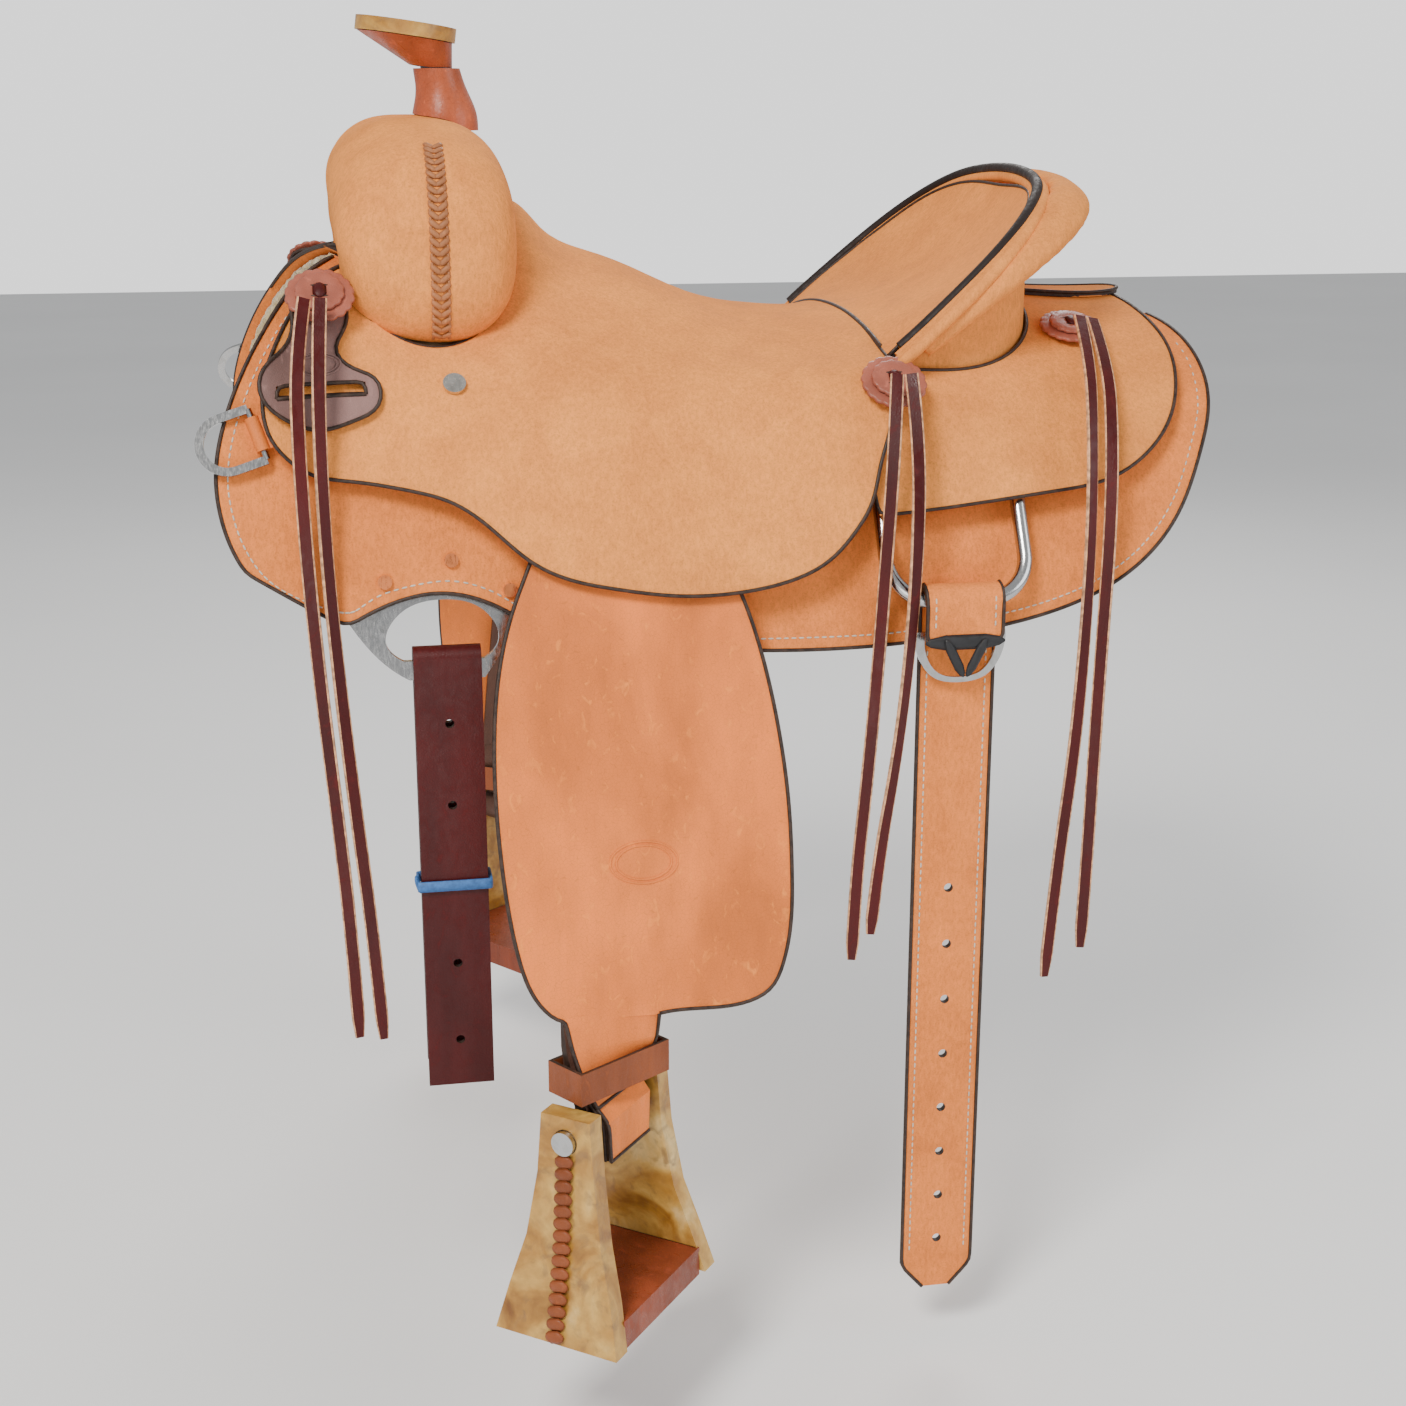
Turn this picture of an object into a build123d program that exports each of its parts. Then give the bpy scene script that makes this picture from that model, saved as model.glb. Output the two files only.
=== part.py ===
from build123d import *
import math
import os

# Western ranch saddle with a 16 inch seat, in millimetres.
# +X points to the horse's head, +Y to the near (left) side, +Z up.
# The origin lies on the centre plane where the saddle rests on the back, under the seat.

os.makedirs("parts", exist_ok=True)

# ---------------------------------------------------------------- driving sizes
SKIRT_SPREAD = 252.0        # how far the skirts flare out from the centre plane
SKIRT_FALL = 100.0          # depth over which the skirt cross-section turns down
MID_X = -20.0               # lowest place of the back line
LEATHER = 4.0               # seat and jockey leather
SKIRT_LEATHER = 5.0
FLEECE = 12.0
BAR_THICKNESS = 9.0         # wooden tree bars
LAYER_GAP = 0.6             # room left between neighbouring layers

RIM_END = (-95.0, -6.0)     # x, z of the cantle rim's ends
RIM_LENGTH = 180.0          # along the rim's slope, from its ends to its top
RIM_HALF_WIDTH = 169.0
RIM_SLOPE = math.radians(41.2)
ROLL_WIDTH = 47.0           # Cheyenne roll at the middle

FENDER_OFFSET = 172.0       # y of the stirrup leathers' inner face at z = 0
FENDER_SLOPE = 0.36         # how fast they lean out going down
BEND_Z = -230.0             # below this the leathers curve back towards vertical
BEND_LENGTH = 220.0
STRAP = 4.0                 # one run of stirrup leather
STIRRUP_LEATHER_WIDTH = 64.0

STIRRUP_TURN = math.radians(52.0)   # the stirrup is turned so a foot goes in from behind
STIRRUP_X, STIRRUP_TOP = 122.0, -459.0
BOLT_DROP = 15.0

HORN_X = 186.0
HORN_CAP_X = 211.0
CAP_RADIUS = 35.0
CAP_TILT = 8.0

EXPORTED = []


def save(shape, name):
    """Write one node."""
    solids = [s for s in shape.solids() if s.volume > 5]
    shape = solids[0] if len(solids) == 1 else Compound(children=solids)
    export_step(shape, f"parts/{name}.step")
    EXPORTED.append(name)
    return shape


def both_sides(shape, name):
    """Write a near-side node and its mirror image on the off side."""
    save(shape, f"{name}_left")
    save(mirror(shape, about=Plane.XZ), f"{name}_right")


def ramp(table, x):
    """Straight-line interpolation in a short table of (x, value) pairs."""
    if x <= table[0][0]:
        return table[0][1]
    for (x0, v0), (x1, v1) in zip(table, table[1:]):
        if x <= x1:
            return v0 + (v1 - v0) * (x - x0) / (x1 - x0)
    return table[-1][1]


# ------------------------------------------------- the cross-section of the back
def crest(x):
    """Height of the back line: low under the seat, rising to the withers."""
    u = (x - MID_X) / 290.0
    return -2.0 + (10.0 if u < 0 else 73.0) * u * u


def fall(x):
    return SKIRT_FALL + 10.0 * min(max((x - 80.0) / 200.0, 0.0), 1.0)


def spread(x):
    return SKIRT_SPREAD - 0.00018 * (x - MID_X) ** 2


def skirt_y(x, depth):
    return spread(x) * math.sqrt(1 - math.exp(-depth / fall(x)))


def layer_point(x, depth, lift):
    """A point lifted off the skirt's outer face, square to it, depth below the crest."""
    y = skirt_y(x, depth)
    if depth < 0.01:
        return (0.0, crest(x) + lift)
    slope = spread(x) ** 2 * math.exp(-depth / fall(x)) / (2 * fall(x) * y)
    size = math.hypot(1, slope)
    return (y + lift / size, crest(x) - depth + lift * slope / size)


def leather_y(z):
    """Inner face of the stirrup leathers."""
    if z > BEND_Z:
        return FENDER_OFFSET - FENDER_SLOPE * z
    t = BEND_Z - z
    bend = min(t, BEND_LENGTH)
    return (
        FENDER_OFFSET - FENDER_SLOPE * BEND_Z
        + FENDER_SLOPE * bend - 0.14 * bend * bend / BEND_LENGTH
        + 0.08 * (t - bend)
    )


# ----------------------------------------------------------------- shape helpers
def curve(points, x):
    return Spline(*[Vector(x, y, z) for y, z in points])


def closed_section(outer, inner, x):
    """A flat section at x between two open curves."""
    edges = [
        curve(outer, x),
        Line((x, *outer[-1]), (x, *inner[-1])),
        curve(inner, x),
        Line((x, *inner[0]), (x, *outer[0])),
    ]
    return Wire(edges)


def loft_sections(wires):
    return Solid.make_loft(wires, ruled=False)


DEPTH_STEPS = (0.0, 3.0, 12.0, 30.0, 55.0, 90.0, 130.0, 175.0, 235.0)


def back_layer(stations, lift_in, lift_out, depths=DEPTH_STEPS):
    """A half shell that follows the back; each lift is a function of x and depth."""
    wires = []
    for x in stations:
        outer = [layer_point(x, d, lift_out(x, d)) for d in depths]
        inner = [layer_point(x, d, lift_in(x, d)) for d in depths]
        wires.append(closed_section(outer, inner, x))
    return loft_sections(wires)


def outline_face(runs, plane):
    """A closed outline from runs of points; neighbouring runs share their end points."""
    edges = []
    for run in runs:
        points = [plane.from_local_coords(Vector(a, b, 0)) for a, b in run]
        edges.append(Line(*points) if len(points) == 2 else Spline(*points))
    return Face(Wire(edges))


SIDE = Plane(origin=(0, 0, 0), x_dir=(1, 0, 0), z_dir=(0, -1, 0))
TOP = Plane.XY


def side_prism(runs, y0, y1):
    """A side-view outline (x, z) pushed out from y0 to y1."""
    face = outline_face(runs, SIDE).moved(Location((0, y0, 0)))
    return extrude(face, amount=y1 - y0, dir=(0, 1, 0))


def top_prism(runs, z0, z1):
    """A top-view outline (x, y) pushed up from z0 to z1."""
    face = outline_face(runs, TOP).moved(Location((0, 0, z0)))
    return extrude(face, amount=z1 - z0, dir=(0, 0, 1))


def box(x0, x1, y0, y1, z0, z1):
    centre = ((x0 + x1) / 2, (y0 + y1) / 2, (z0 + z1) / 2)
    return Pos(*centre) * Box(x1 - x0, y1 - y0, z1 - z0)


def cylinder(start, end, radius):
    a, b = Vector(*start), Vector(*end)
    plane = Plane(origin=a, z_dir=(b - a).normalized())
    return extrude(plane * Circle(radius), amount=(b - a).length)


def constant(value):
    return lambda x, depth: value


STATIONS = (-365, -300, -220, -130, -40, 50, 140, 220, 290, 360)

SKIRT_OUTLINE = [
    [(-322, 60), (-324, 14), (-336, 6), (-342, -14), (-336, -45), (-321, -74), (-300, -110),
     (-274, -138), (-242, -158), (-206, -171), (-163, -180), (-117, -186), (-71, -189), (8, -188),
     (60, -184), (120, -175), (160, -163)],
    [(160, -163), (185, -149), (210, -143), (246, -149), (271, -161)],
    [(271, -161), (302, -152), (326, -137), (341, -115), (349, -88), (350, -62), (343, -32),
     (329, 0), (312, 27), (292, 49), (264, 62), (200, 90)],
    [(200, 90), (-322, 60)],
]
SPINE_GAP = [
    [(-232, -40), (-240, 0), (-232, 40)],
    [(-232, 40), (-60, 46), (200, 60), (400, 78)],
    [(400, 78), (400, -78)],
    [(400, -78), (200, -60), (-60, -46), (-232, -40)],
]


def skirts():
    whole = back_layer(STATIONS, constant(-SKIRT_LEATHER), constant(0))
    shape = whole & side_prism(SKIRT_OUTLINE, 0.4, 300)
    shape = shape - top_prism(SPINE_GAP, -300, 300)
    both_sides(shape, "skirt")


FLEECE_OUTLINE = [
    [(-318, 60), (-320, 10), (-332, 2), (-337, -16), (-331, -45), (-316, -72), (-296, -106),
     (-270, -133), (-240, -153), (-206, -166), (-117, -181), (8, -183), (60, -179), (132, -166)],
    [(132, -166), (146, -112), (210, -100), (286, -112), (298, -147)],
    [(298, -147), (322, -133), (336, -113), (344, -86), (345, -62), (338, -34), (325, -3),
     (308, 23), (289, 44), (262, 57), (200, 85)],
    [(200, 85), (-318, 60)],
]


def fleece_linings():
    """Sheepskin under the skirts, cut away behind the rigging plates."""
    top = -SKIRT_LEATHER - LAYER_GAP
    whole = back_layer(STATIONS, constant(top - FLEECE), constant(top))
    shape = whole & side_prism(FLEECE_OUTLINE, 2, 300)
    shape = shape - top_prism(SPINE_GAP, -300, 300)
    return [shape, mirror(shape, about=Plane.XZ)]


BAR_OUTLINE = [
    [(-238, -4), (-246, -30), (-228, -46), (-150, -52), (0, -56), (150, -40), (240, -14), (284, 4)],
    [(284, 4), (296, 20), (284, 36)],
    [(284, 36), (200, 60), (60, 60), (-238, 60)],
    [(-238, 60), (-238, -4)],
]


def bar_top(x, depth):
    """The bars thin out towards the front, where the jockeys lie closer to the skirts."""
    return 0.5 + ramp([(130, BAR_THICKNESS), (200, BAR_THICKNESS - 2), (240, 3.6)], x)


def tree_bars():
    inner_edge = box(-300, 400, -50, 50, -300, 300)
    shape = back_layer(STATIONS, constant(1.2), bar_top) & side_prism(BAR_OUTLINE, 0, 300)
    shape = shape - inner_edge
    return [shape, mirror(shape, about=Plane.XZ)]


# ----------------------------------------------------------------- seat surface
# Height of the seat's centre line, and how far the jockeys stand off the skirt at
# three depths below the crest.
CROWN = [(-97, 16), (-63, 14), (-32, 16), (5, 24), (51, 43), (88, 59), (123, 76), (150, 93),
         (200, 101), (340, 120)]
SHOULDER_LIFT = [(-97, 48), (-50, 44), (60, 38), (110, 36), (150, 28), (200, 15), (340, 12)]
MIDDLE_LIFT = [(-97, 31), (-50, 31), (110, 29), (150, 26), (200, 19), (240, 12), (340, 10)]
HEM_LIFT = [(-97, 25), (-20, 24), (110, 24), (150, 22), (200, 18), (240, 12), (340, 10)]
ROUNDING = [(-97, 2.2), (0, 2.1), (60, 1.8), (110, 1.5), (150, 1.45)]
SHOULDER_DEPTH = 50.0


def seat_lift(x, depth):
    if depth <= 50:
        return ramp(SHOULDER_LIFT, x)
    if depth <= 95:
        return ramp([(50, ramp(SHOULDER_LIFT, x)), (95, ramp(MIDDLE_LIFT, x))], depth)
    return ramp([(95, ramp(MIDDLE_LIFT, x)), (150, ramp(HEM_LIFT, x))], depth)


def seat_section(x):
    """Points from the centre plane out and down to below the hem."""
    shoulder = layer_point(x, SHOULDER_DEPTH, seat_lift(x, SHOULDER_DEPTH))
    points = []
    for share in (0.0, 0.2, 0.4, 0.6, 0.8):
        y = shoulder[0] * share
        drop = (ramp(CROWN, x) - shoulder[1]) * share ** ramp(ROUNDING, x)
        points.append((y, ramp(CROWN, x) - drop))
    for depth in (50, 75, 100, 130, 165, 205):
        points.append(layer_point(x, depth, seat_lift(x, depth)))
    return points


def front_section(x):
    """The front jockey lies on the skirt right up to the gullet."""
    return [layer_point(x, d, seat_lift(x, d)) for d in (0, 3, 8, 15, 28, 50, 75, 100, 130, 165, 205)]


def sunk(points, depth):
    """The same section moved inwards, square to itself."""
    moved = []
    for i, (y, z) in enumerate(points):
        y0, z0 = points[max(i - 1, 0)]
        y1, z1 = points[min(i + 1, len(points) - 1)]
        if i == 0:
            moved.append((y, z - depth))
            continue
        size = math.hypot(y1 - y0, z1 - z0)
        moved.append((y + depth * (z1 - z0) / size, z - depth * (y1 - y0) / size))
    return moved


def mirrored(points):
    return [(-y, z) for y, z in reversed(points[1:])] + list(points)


SEAT_STATIONS = (-97, -60, -20, 30, 80, 120, 150, 180, 230, 290, 345)


def seat_shell(top, bottom):
    wires = []
    for x in SEAT_STATIONS:
        points = seat_section(x) if x < 165 else front_section(x)
        outer = mirrored(sunk(points, top) if top else points)
        wires.append(closed_section(outer, mirrored(sunk(points, bottom)), x))
    return loft_sections(wires)


# ---------------------------------------------------------------- cantle and rim
def rim_point(angle, grow=0.0):
    """A point on the cantle's rim; angle runs from -90 (off side) to 90 (near side)."""
    a = math.radians(90 - abs(angle))
    along = (RIM_LENGTH + grow) * math.sin(a) ** (2 / 3)
    across = (RIM_HALF_WIDTH + grow) * math.cos(a) ** (2 / 3) if a < math.pi / 2 else 0.0
    x = RIM_END[0] - along * math.cos(RIM_SLOPE)
    z = RIM_END[1] + along * math.sin(RIM_SLOPE)
    return Vector(x, math.copysign(across, angle), z)


RIM_ANGLES = (0, 6, 14, 24, 36, 50, 64, 76, 85, 90)


def rim_prism(grow, x_front, z0, z1):
    """The region in front of the rim, seen from above."""
    half = [rim_point(a, grow) for a in RIM_ANGLES]
    near = [(p.X, p.Y) for p in half]
    far = [(p.X, -p.Y) for p in reversed(half[1:])]
    run = far + near
    side = run[-1][1]
    runs = [run, [run[-1], (x_front, side)], [(x_front, side), (x_front, -side)],
            [(x_front, -side), run[0]]]
    return top_prism(runs, z0, z1)


DISH_LINE = [(-246, 138), (-232, 112), (-215, 86), (-190, 58), (-160, 35), (-130, 22), (-97, 16)]


# how strongly the dish curves up towards its sides
DISH_CURVE = [(-246, 0.0010), (-210, 0.0010), (-185, 0.00083), (-160, 0.00060),
              (-135, 0.00019), (-115, -0.00027), (-97, -0.00070)]


def dish_section(x):
    edge_y = RIM_HALF_WIDTH + 6
    shares = (0, 0.2, 0.4, 0.6, 0.8, 1.0)
    if x > -96:
        whole = seat_section(x)
        return [(edge_y * s, interpolate(whole, edge_y * s)) for s in shares]
    curve_up = ramp(DISH_CURVE, x)
    return [(edge_y * s, ramp(DISH_LINE, x) + curve_up * (edge_y * s) ** 2) for s in shares]


def interpolate(points, y):
    return ramp([(a, b) for a, b in points], y)


DISH_STATIONS = (-95, -115, -135, -160, -185, -210, -232, -246)


def dish_shell(top, bottom):
    wires = []
    for x in DISH_STATIONS:
        points = dish_section(x)
        outer = mirrored([(y, z - top) for y, z in points])
        inner = mirrored([(y, z - bottom) for y, z in points])
        wires.append(closed_section(outer, inner, x))
    return loft_sections(wires)


# side view of the seat leather with its front jockeys
JOCKEY_HEM = [
    [(-97, 120), (-97, -10), (-93, -26), (-87, -48), (-79, -68), (-71, -92), (-58, -110),
     (-40, -127), (-13, -139), (21, -145), (67, -145), (100, -140), (137, -131), (156, -121),
     (179, -101), (204, -84), (228, -77), (267, -70), (291, -65), (304, -56), (315, -42),
     (319, -25), (316, -2), (307, 18), (286, 46), (264, 58)],
    [(264, 58), (259, 40), (244, 22), (224, 10), (204, 6), (182, 11), (163, 28), (154, 47),
     (153, 68), (163, 107)],
    [(163, 107), (163, 200)],
    [(163, 200), (-97, 200)],
    [(-97, 200), (-97, 120)],
]


def seat_cut(top, bottom, hem):
    """Seat leather, or a layer under it, from the swell to the cantle's rim."""
    front = seat_shell(top, bottom) & side_prism(hem, -300, 300)
    front = front - box(172, 400, -86, 86, -200, 200)
    rear = dish_shell(top, bottom + 2) & rim_prism(-6, -60, -60, 200)
    rear = rear & box(-300, -97.4, -300, 300, -60, 200)
    return Compound(children=[*front.solids(), *rear.solids()])


def seat():
    save(seat_cut(0, LEATHER, JOCKEY_HEM), "seat")


GROUND_OUTLINE = [
    [(-97, 200), (-97, -8)],
    [(-97, -8), (0, -20), (80, -10), (146, 28)],
    [(146, 28), (146, 200)],
    [(146, 200), (-97, 200)],
]


def ground_seat():
    top = LEATHER + LAYER_GAP
    whole = seat_shell(top, top + 3)
    save(whole & side_prism(GROUND_OUTLINE, -300, 300), "ground_seat")


def under_bars(lift, x0, x1):
    """Everything below a level above the bars, to cut the parts that stand on them."""
    half = back_layer(STATIONS, constant(-70), constant(lift)) & box(x0, x1, 0, 300, -300, 300)
    return half + mirror(half, about=Plane.XZ)


def tree_cantle():
    """Wooden cantle under the dish, standing on the bars."""
    wires = []
    for x in DISH_STATIONS:
        outer = mirrored([(y, z - 9) for y, z in dish_section(x)])
        inner = [(y, -45) for y, z in outer]
        wires.append(closed_section(outer, inner, x))
    block = loft_sections(wires)
    crescent = rim_prism(-10, -90, -60, 200) - rim_prism(-10, -50, -70, 210).moved(
        Location((34, 0, 0))
    )
    block = block & crescent & box(-300, -99, -300, 300, -70, 210)
    save(block - under_bars(2 * LAYER_GAP + BAR_THICKNESS, -250, -60), "tree_cantle")


def cantle_back():
    """Leather down the back of the cantle, from under the roll to the rear jockeys."""
    ring = rim_prism(-7, -90, -40, 84) - rim_prism(-10, -60, -50, 90)
    ring = ring & box(-300, -110, -300, 300, -60, 100)
    low = side_prism([[(-300, 92), (-232, 92)], [(-232, 92), (-150, 26)], [(-150, 26), (-98, -14)],
                      [(-98, -14), (-98, -80)], [(-98, -80), (-300, -80)], [(-300, -80), (-300, 92)]],
                     -300, 300)
    save((ring & low) - under_bars(19, -260, -60), "cantle_back")


def rim_frame(angle):
    """Origin on the rim, the direction the roll stands out in, and its upper side."""
    p = rim_point(angle)
    q0 = rim_point(max(angle - 1.5, -90))
    q1 = rim_point(min(angle + 1.5, 90))
    along = (q1 - q0).normalized()
    up = Vector(math.sin(RIM_SLOPE), 0, math.cos(RIM_SLOPE))
    out = up.cross(along).normalized()
    return p, out * 0.48 - up * 0.876, out * 0.876 + up * 0.48


def roll_width(angle):
    return ROLL_WIDTH * (0.30 + 0.70 * math.cos(math.radians(angle)) ** 0.9)


def cheyenne_roll():
    """The leather-covered roll that stands out behind the rim."""
    wires = []
    for angle in (-88, -80, -66, -48, -28, -10, 10, 28, 48, 66, 80, 88):
        origin, out, up = rim_frame(angle)
        w = roll_width(angle)
        shape = [(5.5, 3.0), (0.55 * w, 7.0), (w - 3, 3.0), (w, -4.0), (w - 3, -12.0),
                 (0.62 * w, -13.0), (8.5, -3.5)]
        points = [origin + out * a + up * b for a, b in shape]
        wires.append(Wire(Polyline(*points, close=True).edges()))
    save(loft_sections(wires), "cheyenne_roll")


def cantle_binding():
    """The round leather welt along the rim."""
    wires = []
    for angle in (-89, -80, -66, -48, -28, -10, 10, 28, 48, 66, 80, 89):
        origin, out, up = rim_frame(angle)
        wires.append(Wire(Edge.make_circle(4.0, Plane(origin, x_dir=out, z_dir=out.cross(up)))))
    save(loft_sections(wires), "cantle_binding")


REAR_OUTLINE = [
    [(-92, 60), (-91, -6), (-77, -36), (-74, -70), (-78, -102)],
    [(-78, -102), (-122, -99), (-164, -95), (-205, -91), (-244, -85), (-275, -70), (-297, -50),
     (-311, -25), (-316, -2), (-313, 14), (-309, 60)],
    [(-309, 60), (-92, 60)],
]
REAR_TOP_LIFT = [(-330, 12), (-290, 15), (-240, 20), (-150, 30), (-97, 41), (-70, 40)]
REAR_HEM_LIFT = [(-330, 12), (-250, 17), (-190, 19.5), (-60, 19.5)]


def rear_lift(x, depth):
    share = min(max((depth - 40) / 60, 0), 1)
    return ramp(REAR_TOP_LIFT, x) * (1 - share) + ramp(REAR_HEM_LIFT, x) * share


def rear_jockeys():
    whole = back_layer(STATIONS, lambda x, d: rear_lift(x, d) - LEATHER, rear_lift)
    shape = (whole & side_prism(REAR_OUTLINE, 0.4, 300)) - rim_prism(-4, 60, -100, 200)
    both_sides(shape, "rear_jockey")


def spine_plate():
    """The flap over the seam between the rear jockeys."""
    half = back_layer(
        STATIONS, lambda x, d: rear_lift(x, d) + LAYER_GAP, lambda x, d: rear_lift(x, d) + 4.0
    )
    outline = [
        [(-214, -28), (-270, -30), (-300, -27), (-316, -16), (-320, 0), (-316, 16), (-300, 27),
         (-270, 30), (-214, 28)],
        [(-214, 28), (-214, -28)],
    ]
    whole = half + mirror(half, about=Plane.XZ)
    shape = (whole & top_prism(outline, -50, 100)) - rim_prism(-4, 60, -100, 200)
    save(shape, "spine_plate")


# ------------------------------------------------------------- fork, swell, horn
# y, rear x, front x, bottom z, top z of the fork with its cover on
SWELL_SECTIONS = [
    (0, 160, 267, 70, 153),
    (45, 156, 268, 62, 151),
    (85, 151, 269, 40, 147),
    (115, 149, 268, 18, 138),
    (140, 152, 266, 8, 124),
    (156, 162, 257, 20, 104),
    (164, 182, 238, 44, 82),
]


def swell_loft(inset):
    """The fork's swelling shape, drawn in from its cover by an inset."""
    wires = []
    rows = [(-y, *rest) for y, *rest in reversed(SWELL_SECTIONS[1:])] + SWELL_SECTIONS
    for y, x0, x1, z0, z1 in rows:
        y = y * (1 - inset / RIM_HALF_WIDTH)
        x0, x1, z0, z1 = x0 + inset, x1 - inset, z0 + inset, z1 - inset
        cx, cz = (x0 + x1) / 2, (z0 + z1) / 2
        ax, az = (x1 - x0) / 2, (z1 - z0) / 2
        points = []
        for i in range(12):
            a = math.radians(30 * i)
            c, s = math.cos(a), math.sin(a)
            size = (abs(c) ** 2.6 + abs(s) ** 2.6) ** (-1 / 2.6)
            points.append(Vector(cx + ax * c * size, y, cz + az * s * size))
        wires.append(Wire(Spline(*points, periodic=True)))
    return loft_sections(wires)


def fork_and_cover():
    bars = under_bars(2 * LAYER_GAP + BAR_THICKNESS, 100, 340)
    cover = swell_loft(0) - swell_loft(3.2)
    seat_side = side_prism(JOCKEY_HEM, -300, 300)
    cover = cover - bars - (seat_shell(-0.8, 14) & seat_side)
    horn_hole = Pos(HORN_X, 0, 140) * Cylinder(17.2, 74)
    save(cover - horn_hole, "swell_cover")
    fork = swell_loft(3.8) - bars - horn_hole
    fork = fork - (seat_shell(-0.8, 14) & seat_side)
    save(fork & box(100, 340, -300, 300, 0, 149), "tree_fork")


# height, x of the middle, radius
NECK = [(136, 186, 24.0), (146, 186, 23.5), (156, 186, 22.0), (166, 187, 19.0), (176, 189, 17.0),
        (186, 191, 16.0)]
CAP_HIGH_Z = 211.0


def cap_plane(height):
    """A plane square to the horn cap, this far above the cap's centre."""
    tilt = math.radians(CAP_TILT)
    normal = Vector(-math.sin(tilt), 0, math.cos(tilt))
    origin = Vector(HORN_CAP_X, 0, CAP_HIGH_Z) + normal * height
    return Plane(origin=origin, x_dir=(math.cos(tilt), 0, math.sin(tilt)), z_dir=normal)


def circle_wire(plane, radius, x_shift=0.0):
    spot = plane.origin + plane.x_dir * x_shift
    return Wire(Edge.make_circle(radius, Plane(spot, x_dir=plane.x_dir, z_dir=plane.z_dir)))


def neck_wires(shrink):
    return [
        Wire(Edge.make_circle(r - shrink, Plane((x, 0, z), x_dir=(1, 0, 0), z_dir=(0, 0, 1))))
        for z, x, r in NECK
    ]


def horn():
    """Steel horn bolted in the fork, with its leather-covered neck and cap and rawhide rim."""
    steel_neck = Solid.make_loft(neck_wires(5.0)[2:])
    root = Pos(HORN_X, 0, 131) * Cylinder(16.5, 50)
    head = Solid.make_loft([circle_wire(cap_plane(-22), 12, -19), circle_wire(cap_plane(-7), 26)])
    disc = extrude(cap_plane(-7) * Circle(26), amount=5)
    save(root + steel_neck + head + disc, "horn_core")
    core = steel_neck + head + disc
    wrap = Solid.make_loft(neck_wires(0.0)) & box(140, 260, -60, 60, 138, 184)
    wrap = wrap - Solid.make_loft(neck_wires(4.7)) - swell_loft(-0.5)
    wrap = wrap & box(140, 260, -60, 60, 142, 184)
    save(wrap, "horn_neck_wrap")
    under = Solid.make_loft([circle_wire(cap_plane(-24), 15, -20), circle_wire(cap_plane(-6), 33)])
    cover = under & box(100, 300, -60, 60, 184.6, 260)
    hollow = Solid.make_loft(
        [circle_wire(cap_plane(-25.5), 11.5, -21), circle_wire(cap_plane(-7.2), 26.4)]
    )
    hollow = hollow + extrude(cap_plane(-7.4) * Circle(26.4), amount=6)
    top = extrude(cap_plane(-0.9) * Circle(30), amount=3.4)
    save((cover - hollow - core) + top, "horn_cap_cover")
    rim = extrude(cap_plane(-5.5) * (Circle(CAP_RADIUS) - Circle(30.4)), amount=9.5)
    rim = rim - under
    save(rim, "horn_cap_rim")


# ------------------------------------------------------- trim on the jockeys
# x and depth of each rosette's centre, and its two discs' radii
FRONT_ROSETTE, MID_ROSETTE, REAR_ROSETTE = (280, 52), (-93, 54), (-246, 19)
ROSETTE_RADII = (21.0, 14.5)
DISC = 3.0


def surface_axis(x, depth, lift):
    """A point on a lifted layer and the direction square to it."""
    y, z = layer_point(x, depth, lift)
    y0, z0 = layer_point(x, depth, 0)
    return Vector(x, y, z), Vector(0, y - y0, z - z0).normalized()


def disc_on(spot, radius, low, high):
    """A flat disc standing on the surface at a spot, between two heights above it."""
    point, out = spot
    plane = Plane(origin=point + out * low, x_dir=(1, 0, 0), z_dir=out)
    return extrude(plane * Circle(radius), amount=high - low)


def rosettes():
    """Two-layer leather rosettes at the front, at the cantle and on each rear jockey."""
    solids = []
    for spot, base in (
        (surface_axis(*FRONT_ROSETTE, seat_lift(*FRONT_ROSETTE)), 9.8),
        (surface_axis(*MID_ROSETTE, seat_lift(*MID_ROSETTE)), 2.6),
        (surface_axis(*REAR_ROSETTE, rear_lift(*REAR_ROSETTE)), 3.4),
    ):
        for level, radius in enumerate(ROSETTE_RADII):
            low = base + level * (DISC + 0.4)
            disc = disc_on(spot, radius, low, low + DISC)
            solids += [disc, mirror(disc, about=Plane.XZ)]
    save(Compound(children=[s for d in solids for s in d.solids()]), "rosettes")


KEEPER_OUTLINE = [
    [(281, 52), (266, 41), (265, 22), (272, 10), (262, -2), (246, -10), (246, -24), (262, -33),
     (282, -38), (306, -30), (320, -14), (318, 0), (304, 12), (298, 24), (299, 42), (281, 52)],
]


def keeper_plates():
    """Bell-shaped latigo keepers on the front jockeys, with a slot for the strap's end."""
    slot = Pos(282, 200, -14) * Box(56, 120, 7.5)
    slotted_bell = side_prism(KEEPER_OUTLINE, 60, 300) - slot
    both_sides(seat_shell(-4.6, -1.0) & slotted_bell, "keeper_plate")


def seat_screws():
    """Nickel screws that hold the front jockeys to the bars."""
    spot = surface_axis(197, 66, seat_lift(197, 66))
    head = disc_on(spot, 7.5, 1.6, 4.0)
    save(Compound(children=[*head.solids(), *mirror(head, about=Plane.XZ).solids()]), "seat_screws")


# ------------------------------------------------------------------ rigging
PLATE_TOP_Z, PLATE_LEAN = -143.0, 0.25
PLATE_THICKNESS = 4.0
PLATE_OUTLINE = [
    [(279, -150), (268, -168), (253, -186), (235, -199)],
    [(235, -199), (186, -199)],
    [(186, -199), (172, -180), (158, -158), (152, -145)],
    [(152, -145), (166, -126), (205, -113), (250, -122), (272, -135), (279, -150)],
]
PLATE_BAR_TOP = -187.0
RIVETS = [(248, -135), (205, -123), (168, -143)]


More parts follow.
